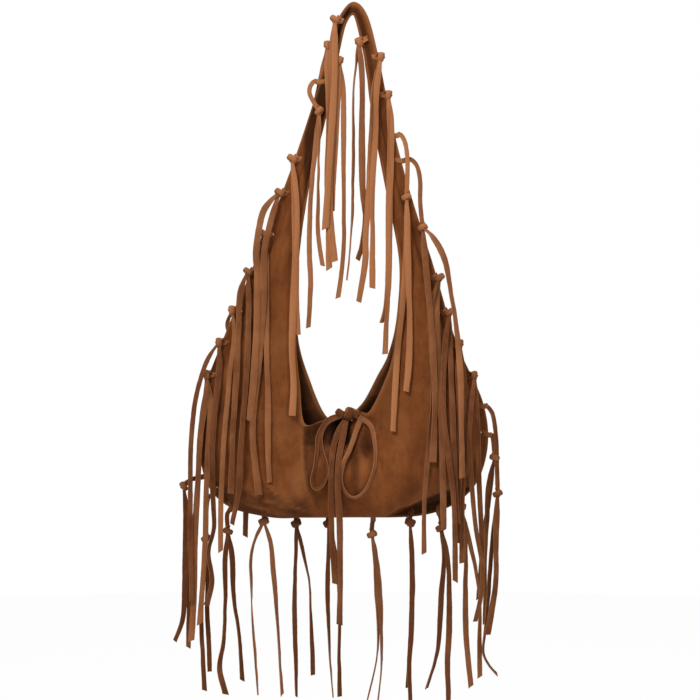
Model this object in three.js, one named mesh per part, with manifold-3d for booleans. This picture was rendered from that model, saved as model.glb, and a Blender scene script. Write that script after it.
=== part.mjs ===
// Fringed suede shoulder bag, hanging from the crest of its own strap.
// Millimetres. +X is to the right in the front view, +Y runs to the back of the bag and +Z is up.
// The origin is the underside of the strap's crest, where a peg carries the bag.
import * as THREE from "three";
import { mergeVertices } from "three/addons/utils/BufferGeometryUtils.js";
import Module from "manifold-3d";

const wasm = await Module();
wasm.setup();

// Suede and seams
const suedeThickness = 1.4;
const seamGap = 0.4; // air between the two panels along the rim
const holeInset = 8; // from an edge to the middle of a punched hole
const holeClearance = 1; // round a gathered lace in its hole
const flatMargin = 3; // flat suede between the holes and the belly
const slimShare = 0.62; // most of a slim strap's width that the flat rim takes
const backFullness = 0.85; // the back panel swells a little less than the front one
const fullnessSkew = 0.62; // below 1 moves a panel's fullest line towards its rim
const holeSides = 6;

// Laces
const laceWidth = 9;
const laceThickness = 1.4;
const gatheredWidth = 4; // a lace pulled narrow where it goes through a hole
const stemWidth = 5; // a doubled lace between the edge and a knot further out
const stemStart = 3; // how far outside the edge a stem leaves the lace's loop
const loopTuck = 5; // how far outside the edge the ends of a loop run into the knot
const loopEndOffset = 0.8; // of each end of a loop from the seam
const laceLift = 0.5; // air under a lace that lies on the suede
const layerGap = 0.5; // air between tails that cross
const knotRadius = 5.5;
const knotDepth = 4.8; // half a knot's size across the bag
const knotGap = 1.2; // air between a knot and the rim it hangs on
const knotOffset = 2; // how far a knot's middle lies in front of the seam
const knotSquareness = 0.8; // a knot's blocks against the round knot that they stand for
const knotTilt = 0.3;
const tailStep = 9; // spacing of the points at which a tail is draped
const tailTolerance = 1.6; // how far a tail may cut the corners of its draped route
const drapeLift = 2.4; // air under a tail that lies on the belly
const turnSteps = 3; // points over which a tail turns edge-on
const widthShares = [-0.5, -0.25, 0, 0.25, 0.5]; // where the suede under a strip is felt across its width

// The hollow that the tie pulls into the front panel
const hollowCentre = [-10, -522];
const hollowRadius = 20;
const hollowDepth = 12;

// The bow
const bowKnotSize = [9, 6, 6.5];
const bowKnotOverlap = 1; // between the bow's knot and the lace under it
const bowLoopWidth = 7;
const tieLift = 0.9; // air under the tie where it lies on the lips
const tieSpread = 3; // half the tie's size across the lips where it crosses their edges

// Tolerances
const mergeDistance = 1e-5;
const smallestArea = 1e-6;
const curveTension = 0.5;

// What follows from the sizes above
const seamHalf = seamGap / 2 + suedeThickness / 2;
const holeRadius = gatheredWidth / 2 + holeClearance;
const flatRim = holeInset + holeRadius + flatMargin;
const knotReach = knotRadius + knotGap;
const layerStep = laceThickness + layerGap;
const frontmostKnot = knotOffset + knotDepth;
const tailPlane = frontmostKnot + laceThickness / 2 + layerGap; // nearest plane that clears all knots

// Stations of the crescent, from the crest down the left horn, round the bottom and up the right horn.
// Each gives a point of the rim and of both mouth edges as [x, z], how far the panel swells between
// them, and how far its mouth edge stands off the seam.
const stations = [
  { rim: [0, 16], front: [0, 0], back: [0, 0], belly: 2, gap: 0 },
  { rim: [-20, -10], front: [-9, -16], back: [-9, -16], belly: 2, gap: 0 },
  { rim: [-32, -56], front: [-18, -56], back: [-18, -56], belly: 2, gap: 0 },
  { rim: [-52, -121], front: [-31, -121], back: [-31, -121], belly: 3, gap: 0 },
  { rim: [-79, -200], front: [-51, -202], back: [-51, -202], belly: 5, gap: 0 },
  { rim: [-118, -300], front: [-66, -300], back: [-66, -300], belly: 10, gap: 2 },
  { rim: [-159, -400], front: [-70, -400], back: [-68, -400], belly: 19, gap: 6 },
  { rim: [-186, -475], front: [-65, -462], back: [-51, -462], belly: 31, gap: 12 },
  { rim: [-191, -544], front: [-59, -510], back: [-34, -500], belly: 40, gap: 15 },
  { rim: [-172, -600], front: [-35, -506], back: [-21, -505], belly: 45, gap: 9 },
  { rim: [-118, -625], front: [-15, -499], back: [-12, -501], belly: 48, gap: 4 },
  { rim: [0, -628], front: [-1, -498], back: [-1, -498], belly: 50, gap: 2.5 },
  { rim: [95, -624], front: [11, -496], back: [9, -490], belly: 48, gap: 4 },
  { rim: [148, -595], front: [22, -495], back: [18, -478], belly: 44, gap: 9 },
  { rim: [169, -544], front: [38, -464], back: [32, -451], belly: 39, gap: 12 },
  { rim: [164, -485], front: [50, -429], back: [45, -425], belly: 30, gap: 9 },
  { rim: [131, -410], front: [56, -379], back: [56, -379], belly: 19, gap: 5 },
  { rim: [102, -314], front: [59, -306], back: [59, -306], belly: 10, gap: 2 },
  { rim: [71, -216], front: [42, -216], back: [42, -216], belly: 5, gap: 0 },
  { rim: [49, -131], front: [26, -131], back: [26, -131], belly: 3, gap: 0 },
  { rim: [34, -56], front: [16, -59], back: [16, -59], belly: 2, gap: 0 },
  { rim: [19, 0], front: [6, -11], back: [6, -11], belly: 2, gap: 0 },
];
const bodyStations = [6, 15]; // the wide part, which is sampled more finely
const bodySteps = 3;
const hornSteps = 2;
const acrossShares = [0, 0.13, 0.36, 0.66, 1]; // columns of a panel between its flat rim and its mouth

// Faces of the laces' tails: they hang over the front, over the back, or free in the plane of the seam
const front = "front";
const back = "back";
const free = "free";

const suede = new THREE.MeshStandardMaterial({ color: 0x7a4526, roughness: 0.95, metalness: 0 });
const laceSuede = new THREE.MeshStandardMaterial({ color: 0x8a5a3c, roughness: 0.95, metalness: 0 });

// Closed smooth curves through the stations
function stationCurve(pick) {
  return new THREE.CatmullRomCurve3(stations.map(pick), true, "catmullrom", curveTension);
}

const rimCurve = stationCurve(({ rim }) => new THREE.Vector3(rim[0], 0, rim[1]));
const mouthCurves = {
  front: stationCurve(({ front: edge, gap }) => new THREE.Vector3(edge[0], gap, edge[1])),
  back: stationCurve(({ back: edge, gap }) => new THREE.Vector3(edge[0], gap, edge[1])),
};
const bellyCurve = stationCurve(({ belly }) => new THREE.Vector3(belly, 0, 0));

function panelStations() {
  const positions = [];
  for (let i = 0; i < stations.length; i += 1) {
    const inBody = i >= bodyStations[0] && i < bodyStations[1];
    const steps = inBody ? bodySteps : hornSteps;
    for (let k = 0; k < steps; k += 1) positions.push((i + k / steps) / stations.length);
  }
  return positions;
}

// How full a panel is between its flat rim (0) and its mouth (1)
function fullness(share) {
  return Math.sin(Math.PI * share ** fullnessSkew);
}

function hollowAt(x, z) {
  const dx = (x - hollowCentre[0]) / hollowRadius;
  const dz = (z - hollowCentre[1]) / hollowRadius;
  return hollowDepth * Math.exp(-dx * dx - dz * dz);
}

// One point of the middle of a panel's thickness. The depth counts outwards from the seam.
function panelPoint(side, place, column) {
  const rim = rimCurve.getPoint(place);
  const mouth = mouthCurves[side].getPoint(place);
  const gap = Math.max(mouth.y, 0);
  mouth.y = 0;
  const flatShare = Math.min(flatRim / rim.distanceTo(mouth), slimShare);
  if (column === 0) return new THREE.Vector3(rim.x, seamHalf, rim.z);
  const share = acrossShares[column - 1];
  const point = rim.lerp(mouth, flatShare + (1 - flatShare) * share);
  const swell = bellyCurve.getPoint(place).x * (side === "back" ? backFullness : 1);
  const hollow = side === "front" ? hollowAt(point.x, point.z) : 0;
  point.y = seamHalf + gap * share + Math.max(swell * fullness(share) - hollow, 0);
  return point;
}

const panelPlaces = panelStations();
const columnCount = acrossShares.length + 1;

function panelGrid(side) {
  return panelPlaces.map((place) => {
    const row = [];
    for (let column = 0; column < columnCount; column += 1) row.push(panelPoint(side, place, column));
    return row;
  });
}

// Moves every point of a grid along its normal, outwards where the distance is positive
function offsetGrid(grid, distance) {
  const rows = grid.length;
  return grid.map((row, i) => row.map((point, j) => {
    const along = grid[(i + 1) % rows][j].clone().sub(grid[(i + rows - 1) % rows][j]);
    const across = row[Math.min(j + 1, row.length - 1)].clone().sub(row[Math.max(j - 1, 0)]);
    const normal = j <= 1 ? new THREE.Vector3(0, 1, 0) : along.cross(across).normalize();
    if (normal.y < 0) normal.negate();
    return point.clone().addScaledVector(normal, distance);
  }));
}

const grids = { front: panelGrid("front"), back: panelGrid("back") };
const outerFaces = {
  front: offsetGrid(grids.front, suedeThickness / 2),
  back: offsetGrid(grids.back, suedeThickness / 2),
};

// Depth of a panel's outer face over a point of the front view, or 0 beside the panel
function depthAt(side, x, z) {
  const face = outerFaces[side];
  let depth = 0;
  for (let i = 0; i < face.length; i += 1) {
    const next = face[(i + 1) % face.length];
    for (let j = 0; j + 1 < columnCount; j += 1) {
      depth = Math.max(depth, triangleDepth(face[i][j], next[j], next[j + 1], x, z));
      depth = Math.max(depth, triangleDepth(face[i][j], next[j + 1], face[i][j + 1], x, z));
    }
  }
  return depth;
}

function triangleDepth(a, b, c, x, z) {
  const area = (b.x - a.x) * (c.z - a.z) - (c.x - a.x) * (b.z - a.z);
  if (Math.abs(area) < smallestArea) return 0;
  const v = ((x - a.x) * (c.z - a.z) - (c.x - a.x) * (z - a.z)) / area;
  const w = ((b.x - a.x) * (z - a.z) - (x - a.x) * (b.z - a.z)) / area;
  if (v < 0 || w < 0 || v + w > 1) return 0;
  return a.y + v * (b.y - a.y) + w * (c.y - a.y);
}

// A solid of the library from a geometry whose shared corners are merged
function toSolid(geometry) {
  const bare = geometry.clone();
  bare.deleteAttribute("normal");
  bare.deleteAttribute("uv");
  const merged = mergeVertices(bare, mergeDistance);
  const mesh = new wasm.Mesh({
    numProp: 3,
    vertProperties: new Float32Array(merged.attributes.position.array),
    triVerts: new Uint32Array(merged.index.array),
  });
  return new wasm.Manifold(mesh);
}

function toGeometry(solid) {
  const { vertProperties, triVerts } = solid.getMesh();
  const geometry = new THREE.BufferGeometry();
  geometry.setAttribute("position", new THREE.BufferAttribute(vertProperties, 3));
  geometry.setIndex(new THREE.BufferAttribute(triVerts, 1));
  geometry.computeVertexNormals();
  return geometry;
}

function meshFrom(positions, triangles) {
  const geometry = new THREE.BufferGeometry();
  geometry.setAttribute("position", new THREE.Float32BufferAttribute(positions, 3));
  geometry.setIndex(triangles);
  return geometry;
}

// A panel as a closed ring of suede. The front panel's depth runs to -Y, the back one's to +Y.
function panelSolid(side) {
  const facing = side === "front" ? -1 : 1;
  const inner = offsetGrid(grids[side], -suedeThickness / 2);
  const outer = outerFaces[side];
  const positions = [];
  for (const layer of [inner, outer]) {
    for (const row of layer) for (const point of row) positions.push(point.x, point.y * facing, point.z);
  }
  const rows = panelPlaces.length;
  const last = columnCount - 1;
  const at = (layer, i, j) => layer * rows * columnCount + (i % rows) * columnCount + j;
  const triangles = [];
  const quad = (a, b, c, d) => {
    const corners = side === "front" ? [a, b, c, a, c, d] : [a, c, b, a, d, c];
    triangles.push(...corners);
  };
  for (let i = 0; i < rows; i += 1) {
    for (let j = 0; j < last; j += 1) {
      quad(at(0, i, j), at(0, i, j + 1), at(0, i + 1, j + 1), at(0, i + 1, j));
      quad(at(1, i, j), at(1, i + 1, j), at(1, i + 1, j + 1), at(1, i, j + 1));
    }
    quad(at(0, i, 0), at(0, i + 1, 0), at(1, i + 1, 0), at(1, i, 0));
    quad(at(0, i, last), at(1, i, last), at(1, i + 1, last), at(0, i + 1, last));
  }
  return toSolid(meshFrom(positions, triangles));
}

// A flat strip along a row of points. Each point has the direction of the strip's width there.
function stripSolid(points, widthDirections, widths, thickness) {
  const positions = [];
  const triangles = [];
  const last = points.length - 1;
  points.forEach((point, i) => {
    const along = points[Math.min(i + 1, last)].clone().sub(points[Math.max(i - 1, 0)]).normalize();
    const across = widthDirections[i].clone();
    across.addScaledVector(along, -along.dot(across)).normalize();
    const face = across.clone().cross(along);
    for (const [w, t] of [[-1, -1], [1, -1], [1, 1], [-1, 1]]) {
      const corner = point.clone();
      corner.addScaledVector(across, (w * widths[i]) / 2);
      corner.addScaledVector(face, (t * thickness) / 2);
      positions.push(...corner.toArray());
    }
    if (i === last) return;
    for (let k = 0; k < 4; k += 1) {
      const a = i * 4 + k;
      const b = i * 4 + ((k + 1) % 4);
      triangles.push(a, b, b + 4, a, b + 4, a + 4);
    }
  });
  triangles.push(0, 2, 1, 0, 3, 2);
  const end = last * 4;
  triangles.push(end, end + 1, end + 2, end, end + 2, end + 3);
  const solid = toSolid(meshFrom(positions, triangles));
  if (solid.volume() > 0) return solid;
  return toSolid(meshFrom(positions, triangles.reverse()));
}

function knotSolid(centre, size) {
  const geometry = new THREE.BoxGeometry(...size.map((half) => 2 * knotSquareness * half));
  geometry.rotateY(knotTilt);
  geometry.translate(...centre.toArray());
  return toSolid(geometry);
}

// The nearest place on an edge of the panels, with the direction from there into the suede
function edgeNear(edge, x, z) {
  const column = edge === "mouth" ? columnCount - 1 : 0;
  const neighbour = edge === "mouth" ? columnCount - 2 : 1;
  const target = new THREE.Vector3(x, 0, z);
  const grid = grids.front;
  let nearest = null;
  for (let i = 0; i < grid.length; i += 1) {
    const a = grid[i][column].clone().setY(0);
    const b = grid[(i + 1) % grid.length][column].clone().setY(0);
    const point = new THREE.Vector3();
    new THREE.Line3(a, b).closestPointToPoint(target, true, point);
    const distance = point.distanceTo(target);
    if (nearest && nearest.distance <= distance) continue;
    const along = b.sub(a).normalize();
    const inward = new THREE.Vector3(-along.z, 0, along.x);
    const suedeSide = grid[i][neighbour].clone().setY(0).sub(a);
    if (inward.dot(suedeSide) < 0) inward.negate();
    nearest = { point, inward, along, distance };
  }
  return nearest;
}

// How far the outer face of a panel stands off the seam between an edge and a hole
function stackAt(side, place) {
  let stack = seamHalf + suedeThickness / 2;
  for (const inset of [holeInset / 2, holeInset, holeInset + holeRadius / 2]) {
    const point = place.point.clone().addScaledVector(place.inward, inset);
    stack = Math.max(stack, depthAt(side, point.x, point.z));
  }
  return stack;
}

const holes = [];

// The part of a lace that runs in at the front, through the hole and back round the edge
function loopSolid(place) {
  const hole = place.point.clone().addScaledVector(place.inward, holeInset);
  const lift = laceLift + laceThickness / 2;
  const frontStack = stackAt("front", place) + lift;
  const backStack = stackAt("back", place) + lift;
  holes.push({ centre: hole, reach: Math.max(frontStack, backStack) });
  const turn = laceThickness;
  const route = [
    [-loopTuck, -loopEndOffset],
    [0, -frontStack],
    [holeInset - turn, -frontStack],
    [holeInset, turn - frontStack],
    [holeInset, backStack - turn],
    [holeInset - turn, backStack],
    [0, backStack],
    [-loopTuck, loopEndOffset],
  ];
  const points = route.map(([inset, y]) => place.point.clone().addScaledVector(place.inward, inset).setY(y));
  return stripSolid(points, points.map(() => place.along), points.map(() => gatheredWidth), laceThickness);
}

// A tail: the side it hangs on, its layer there, how far it is turned edge-on, and its route as [x, z]
function tail(side, layer, turn, route) {
  return { side, layer, turn, route };
}

// Depth of a panel under the whole width of a strip that lies on it
function depthUnder(side, x, z, width) {
  const depths = widthShares.map((share) => depthAt(side, x + share * width, z));
  return Math.max(...depths);
}

// The points that keep a route within a tolerance
function thinned(points, tolerance) {
  const kept = [points[0]];
  let from = 0;
  for (let to = 2; to < points.length; to += 1) {
    const chord = new THREE.Line3(points[from], points[to]);
    const strays = points.slice(from + 1, to).some((point) => {
      const foot = new THREE.Vector3();
      chord.closestPointToPoint(point, true, foot);
      return foot.distanceTo(point) > tolerance;
    });
    if (!strays) continue;
    from = to - 1;
    kept.push(points[from]);
  }
  kept.push(points[points.length - 1]);
  return kept;
}

function tailSolid(knot, { side, layer, turn, route }) {
  const flat = [[knot.x, knot.z], ...route].map(([x, z]) => new THREE.Vector3(x, 0, z));
  const curve = new THREE.CatmullRomCurve3(flat, false, "catmullrom", curveTension);
  const length = curve.getLength();
  const count = Math.ceil(length / tailStep);
  const facing = side === "back" ? 1 : -1;
  const draped = curve.getSpacedPoints(count);
  const knotHeight = knot.y * facing;
  let depth = knotHeight;
  draped.forEach((point, i) => {
    if (side === "free") {
      point.y = -(i === 0 ? knotHeight : knotHeight + layer * layerStep);
      return;
    }
    const plane = tailPlane + layer * layerStep;
    const lift = drapeLift + laceThickness / 2 + layer * layerStep;
    if (i === 1) depth = Math.max(depth, (knotHeight + plane) / 2);
    if (i > 1) depth = Math.max(depth, plane, depthUnder(side, point.x, point.z, laceWidth) + lift);
    point.y = depth * facing;
  });
  const points = thinned(draped, tailTolerance);
  const widthDirections = points.map((point, i) => {
    const angle = THREE.MathUtils.degToRad(turn) * Math.min(i / turnSteps, 1);
    return new THREE.Vector3(Math.cos(angle), Math.sin(angle), 0);
  });
  return stripSolid(points, widthDirections, points.map(() => laceWidth), laceThickness);
}

// The doubled lace between the edge and a knot that is tied further out
function stemSolid(place, way, knot) {
  const start = place.point.clone().addScaledVector(place.inward, -stemStart).setY(0);
  const points = [start, ...way.map(([x, z]) => new THREE.Vector3(x, 0, z)), knot.clone()];
  let travelled = 0;
  const lengths = points.map((point, i) => {
    if (i > 0) travelled += point.clone().setY(0).distanceTo(points[i - 1].clone().setY(0));
    return travelled;
  });
  points.forEach((point, i) => {
    point.y = knot.y * Math.min((2 * lengths[i]) / travelled, 1);
  });
  const widthDirections = points.map((point, i) => {
    const along = points[Math.min(i + 1, points.length - 1)].clone().sub(points[Math.max(i - 1, 0)]);
    return new THREE.Vector3(-along.z, 0, along.x);
  });
  const widths = points.map(() => stemWidth);
  return stripSolid(points, widthDirections, widths, 2 * laceThickness);
}

const bag = new THREE.Group();

function addPiece(name, solid, material) {
  const mesh = new THREE.Mesh(toGeometry(solid), material);
  mesh.name = name;
  bag.add(mesh);
}

// A lace of the rim or of the strap's inner edge. A lace with a way has its knot further out, and one
// on the front has it lying on the front panel.
function lace(name, edge, [x, z], way, tails) {
  const [edgeX, edgeZ] = way.length > 0 ? way[0] : [x, z];
  const place = edgeNear(edge, edgeX, edgeZ);
  const knot = new THREE.Vector3(x, -knotOffset, z);
  if (way.length === 0) knot.copy(place.point).addScaledVector(place.inward, -knotReach).setY(-knotOffset);
  if (edge === "front") knot.y = -(depthUnder("front", x, z, 2 * knotRadius) + knotDepth + laceLift);
  const parts = [loopSolid(place), knotSolid(knot, [knotRadius, knotDepth, knotRadius])];
  if (way.length > 0) parts.push(stemSolid(place, way, knot));
  for (const each of tails) parts.push(tailSolid(knot, each));
  addPiece(`lace_${name}`, wasm.Manifold.union(parts), laceSuede);
}

lace("left_1", "rim", [-24, -6], [], [
  tail(front, 2, 0, [[-24, -56], [-24, -131], [-28, -206], [-26, -262], [-22, -309]]),
  tail(front, 3, 0, [[-22, -81], [-26, -156], [-30, -219], [-33, -268]]),
]);
lace("left_2", "rim", [-32, -39], [], [
  tail(front, 1, 0, [[-30, -81], [-29, -144], [-30, -206], [-29, -269], [-28, -318]]),
  tail(back, 0, 0, [[-42, -100], [-58, -169], [-70, -231], [-78, -294]]),
]);
lace("left_3", "mouth", [-14, -59], [], [
  tail(free, 0, 30, [[-11, -100], [-11, -169], [-11, -238], [-11, -288], [-14, -325], [-18, -354]]),
  tail(front, 0, 0, [[-18, -100], [-21, -156], [-24, -206], [-25, -246]]),
]);
lace("left_4", "front", [-41, -121], [[-47, -83], [-52, -90], [-53, -99], [-49, -108]], [
  tail(front, 0, 0, [[-45, -162], [-50, -219], [-52, -256], [-53, -300], [-52, -338], [-55, -391]]),
  tail(front, 1, 60, [[-42, -169], [-43, -231], [-43, -275], [-37, -314]]),
]);
lace("left_5", "rim", [-75, -179], [], [
  tail(front, 1, 0, [[-71, -225], [-71, -294], [-73, -356], [-74, -419], [-72, -462], [-74, -500]]),
  tail(front, 2, 0, [[-69, -231], [-68, -294], [-68, -356], [-67, -400]]),
]);
lace("left_6", "rim", [-95, -220], [], [
  tail(front, 3, 0, [
    [-109, -244], [-116, -271], [-119, -300], [-117, -331], [-118, -394], [-121, -450],
    [-126, -506],
  ]),
  tail(front, 2, 0, [
    [-102, -262], [-109, -300], [-110, -356], [-114, -419], [-120, -481], [-121, -531],
    [-114, -596],
  ]),
]);
lace("left_7", "rim", [-106, -276], [], [
  tail(front, 0, 0, [[-106, -319], [-106, -369], [-106, -419], [-104, -481], [-103, -531], [-101, -581]]),
  tail(back, 1, 0, [[-114, -294], [-106, -331], [-100, -406], [-98, -481], [-100, -569]]),
]);
lace("left_8", "rim", [-129, -321], [], [
  tail(front, 4, 0, [[-128, -356], [-128, -412], [-132, -475], [-136, -531], [-139, -594], [-146, -632]]),
  tail(front, 5, 0, [[-139, -350], [-141, -394], [-142, -450], [-145, -519], [-148, -594]]),
]);
lace("left_9", "rim", [-146, -371], [], [
  tail(front, 2, 0, [[-146, -400], [-150, -444], [-154, -494], [-158, -544], [-161, -606], [-161, -666]]),
  tail(back, 0, 0, [[-156, -388], [-143, -419], [-135, -481], [-134, -556], [-136, -656]]),
]);
lace("left_10", "rim", [-166, -409], [], [
  tail(front, 4, 0, [
    [-180, -432], [-190, -462], [-196, -494], [-200, -538], [-201, -594], [-201, -656],
    [-199, -731],
  ]),
  tail(front, 3, 20, [
    [-165, -450], [-170, -500], [-173, -550], [-172, -606], [-171, -638], [-178, -669],
    [-173, -704], [-180, -734],
  ]),
]);
lace("left_11", "rim", [-180, -451], [], [
  tail(front, 1, 0, [[-182, -481], [-189, -525], [-192, -581], [-195, -644], [-196, -719], [-200, -781]]),
  tail(front, 0, 0, [[-176, -488], [-179, -544], [-181, -594], [-182, -656], [-186, -719], [-189, -759]]),
]);
lace("left_12", "rim", [-210, -589], [[-195, -579], [-202, -581]], [
  tail(free, 0, 20, [[-208, -625], [-208, -669], [-209, -719], [-212, -756], [-222, -782]]),
  tail(free, -2, 0, [[-205, -631], [-204, -694], [-205, -791]]),
]);
lace("left_13", "rim", [-182, -654], [[-180, -604], [-182, -625]], [
  tail(free, 0, 0, [[-185, -694], [-188, -744], [-186, -794], [-184, -844]]),
  tail(free, -2, 0, [[-180, -694], [-181, -744], [-179, -781], [-178, -821]]),
]);
lace("bottom_1", "rim", [-155, -645], [[-156, -625]], [
  tail(free, 0, 40, [[-159, -681], [-159, -731], [-161, -781], [-166, -816], [-158, -849]]),
  tail(free, -2, 30, [[-150, -681], [-149, -725], [-142, -775], [-138, -832]]),
]);
lace("bottom_2", "rim", [-109, -634], [], [
  tail(free, 1, 75, [[-122, -656], [-127, -681], [-126, -725], [-124, -769], [-121, -806], [-118, -849]]),
  tail(free, -1, 45, [[-102, -662], [-98, -706], [-94, -756], [-91, -806], [-88, -850]]),
]);
lace("bottom_3", "rim", [-70, -638], [], [
  tail(free, 1, 45, [[-71, -675], [-72, -731], [-71, -794], [-70, -851]]),
  tail(free, -1, 45, [[-62, -672], [-54, -709], [-52, -756], [-50, -794], [-49, -825]]),
]);
lace("bottom_4", "rim", [-31, -634], [], [
  tail(free, 1, 55, [[-30, -669], [-31, -712], [-30, -762], [-28, -806], [-24, -852]]),
  tail(free, -1, 50, [[-21, -675], [-16, -731], [-17, -794], [-16, -852]]),
]);
lace("bottom_5", "rim", [25, -649], [[25, -638]], [
  tail(free, 1, 60, [[28, -684], [31, -731], [32, -775], [29, -812], [19, -854]]),
  tail(free, -1, 50, [[31, -688], [35, -738], [36, -788], [36, -821], [32, -856]]),
]);
lace("bottom_6", "rim", [72, -636], [], [
  tail(free, 1, 15, [[74, -669], [75, -719], [74, -769], [71, -812], [72, -856]]),
  tail(free, -1, 20, [[75, -681], [76, -731], [72, -781], [69, -841]]),
]);
lace("bottom_7", "rim", [111, -641], [[111, -630]], [
  tail(free, 1, 50, [[114, -679], [111, -725], [109, -762], [105, -800], [92, -841]]),
  tail(free, -1, 35, [[119, -681], [121, -725], [121, -769], [119, -812], [120, -858]]),
]);
lace("bottom_8", "rim", [142, -622], [], [
  tail(free, 1, 40, [[141, -662], [141, -719], [142, -775], [148, -839]]),
  tail(free, -2, 25, [[146, -656], [154, -694], [159, -731], [159, -781], [160, -828]]),
]);
lace("right_11", "rim", [182, -598], [[173, -490], [182, -506], [187, -534], [187, -566]], [
  tail(free, 2, 10, [[180, -631], [179, -669], [179, -706], [174, -744], [169, -774]]),
  tail(free, 0, 60, [
    [176, -638], [172, -688], [169, -731], [165, -774], [163, -796], [170, -812], [181, -825],
  ]),
]);
lace("right_10", "rim", [178, -553], [[175, -524], [177, -538]], [
  tail(free, -5, 20, [[171, -588], [169, -625], [167, -669], [166, -719], [166, -762]]),
  tail(back, 0, 0, [[172, -606], [165, -656], [158, -731]]),
]);
lace("right_9", "rim", [152, -452], [], [
  tail(front, 6, 0, [
    [147, -488], [144, -531], [147, -581], [152, -638], [159, -681], [158, -719], [151, -752],
  ]),
  tail(front, 7, 0, [[154, -488], [156, -531], [157, -581], [159, -644], [160, -706]]),
]);
lace("right_8", "rim", [135, -412], [], [
  tail(front, 1, 0, [[131, -450], [132, -500], [133, -544], [131, -594], [131, -656]]),
  tail(front, 0, 0, [[138, -450], [140, -494], [139, -544], [136, -606], [136, -681]]),
]);
lace("right_7", "rim", [120, -371], [], [
  tail(front, 4, 0, [
    [115, -412], [112, -456], [112, -500], [118, -550], [124, -594], [126, -644], [126, -702],
  ]),
  tail(front, 3, 0, [[121, -412], [122, -462], [124, -512], [126, -569], [129, -631]]),
]);
lace("right_6", "rim", [109, -328], [], [
  tail(front, 1, 0, [[105, -362], [106, -412], [108, -462], [110, -512], [111, -562], [112, -638]]),
  tail(front, 2, 0, [[99, -362], [98, -412], [99, -462], [96, -512], [92, -562], [89, -606], [88, -668]]),
]);
lace("right_5", "front", [88, -266], [[72, -180], [81, -189], [85, -208], [85, -235]], [
  tail(front, 10, 0, [
    [104, -285], [115, -309], [121, -344], [129, -394], [133, -444], [134, -506], [135, -575],
  ]),
  tail(front, 3, 0, [[92, -319], [99, -394], [101, -469], [99, -556]]),
]);
lace("right_4", "front", [68, -228], [[60, -149], [66, -159], [69, -179], [69, -204]], [
  tail(front, 1, 0, [[68, -275], [66, -325], [61, -375], [56, -425], [53, -475], [51, -519]]),
  tail(front, 2, 0, [[69, -275], [70, -338], [71, -394], [70, -438], [67, -470]]),
]);
lace("right_3", "rim", [49, -101], [], [
  tail(front, 0, 0, [[49, -144], [48, -219], [46, -306], [43, -369], [41, -424]]),
  tail(front, 1, 45, [[46, -169], [46, -256], [45, -331], [41, -366], [36, -385]]),
]);
lace("right_2", "rim", [38, -54], [], [
  tail(front, 3, 0, [[30, -100], [29, -150], [26, -212], [26, -275], [25, -342]]),
  tail(front, 2, 30, [[26, -100], [23, -162], [21, -219], [17, -275], [16, -309], [8, -359]]),
]);
lace("right_1", "mouth", [15, -34], [], [
  tail(free, 1, 80, [[5, -59], [1, -100], [1, -162], [0, -231], [-2, -281], [-7, -331]]),
  tail(front, 0, 30, [[12, -81], [12, -156], [13, -219], [16, -256], [12, -288], [6, -306]]),
]);

// The lace through both lips of the mouth, tied in a bow at the front
function tieBow(knotPlace, loops, tails) {
  const place = edgeNear("mouth", ...knotPlace);
  const hole = place.point.clone().addScaledVector(place.inward, holeInset);
  const lift = tieLift + laceThickness / 2;
  const frontStack = stackAt("front", place) + lift;
  const backStack = stackAt("back", place) + lift;
  holes.push({ centre: hole, reach: Math.max(frontStack, backStack) });
  const knot = new THREE.Vector3(knotPlace[0], -(frontStack + bowKnotSize[1] - bowKnotOverlap), knotPlace[1]);
  const over = -(laceLift + laceThickness);
  const turn = laceThickness;
  const route = [
    [0, knot.y],
    [over, -seamHalf - tieSpread],
    [over, seamHalf + tieSpread],
    [turn, backStack],
    [holeInset - turn, backStack],
    [holeInset, backStack - turn],
    [holeInset, turn - frontStack],
    [holeInset - turn, -frontStack],
    [turn, -frontStack - bowKnotOverlap],
    [0, knot.y],
  ];
  const points = route.map(([inset, y]) => place.point.clone().addScaledVector(place.inward, inset).setY(y));
  const across = points.map(() => place.along);
  const parts = [
    stripSolid(points, across, points.map(() => gatheredWidth), laceThickness),
    knotSolid(knot, bowKnotSize),
  ];
  for (const loop of loops) parts.push(bowLoopSolid(knot, loop));
  for (const route of tails) parts.push(tailSolid(knot, tail(front, 1, 0, route)));
  addPiece("tie_bow", wasm.Manifold.union(parts), laceSuede);
}

function bowLoopSolid(knot, route) {
  const flat = [[knot.x, knot.z], ...route].map(([x, z]) => new THREE.Vector3(x, 0, z));
  const curve = new THREE.CatmullRomCurve3(flat, false, "catmullrom", curveTension);
  const draped = curve.getSpacedPoints(Math.ceil(curve.getLength() / tailStep));
  draped.forEach((point) => {
    const under = widthShares.map((share) => {
      return depthUnder("front", point.x, point.z + share * bowLoopWidth, bowLoopWidth);
    });
    point.y = -Math.max(...under, -knot.y - drapeLift) - drapeLift;
  });
  const points = thinned(draped, tailTolerance);
  const widthDirections = points.map((point, i) => {
    const along = points[Math.min(i + 1, points.length - 1)].clone().sub(points[Math.max(i - 1, 0)]);
    return new THREE.Vector3(-along.z, 0, along.x);
  });
  return stripSolid(points, widthDirections, points.map(() => bowLoopWidth), laceThickness);
}

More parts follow.
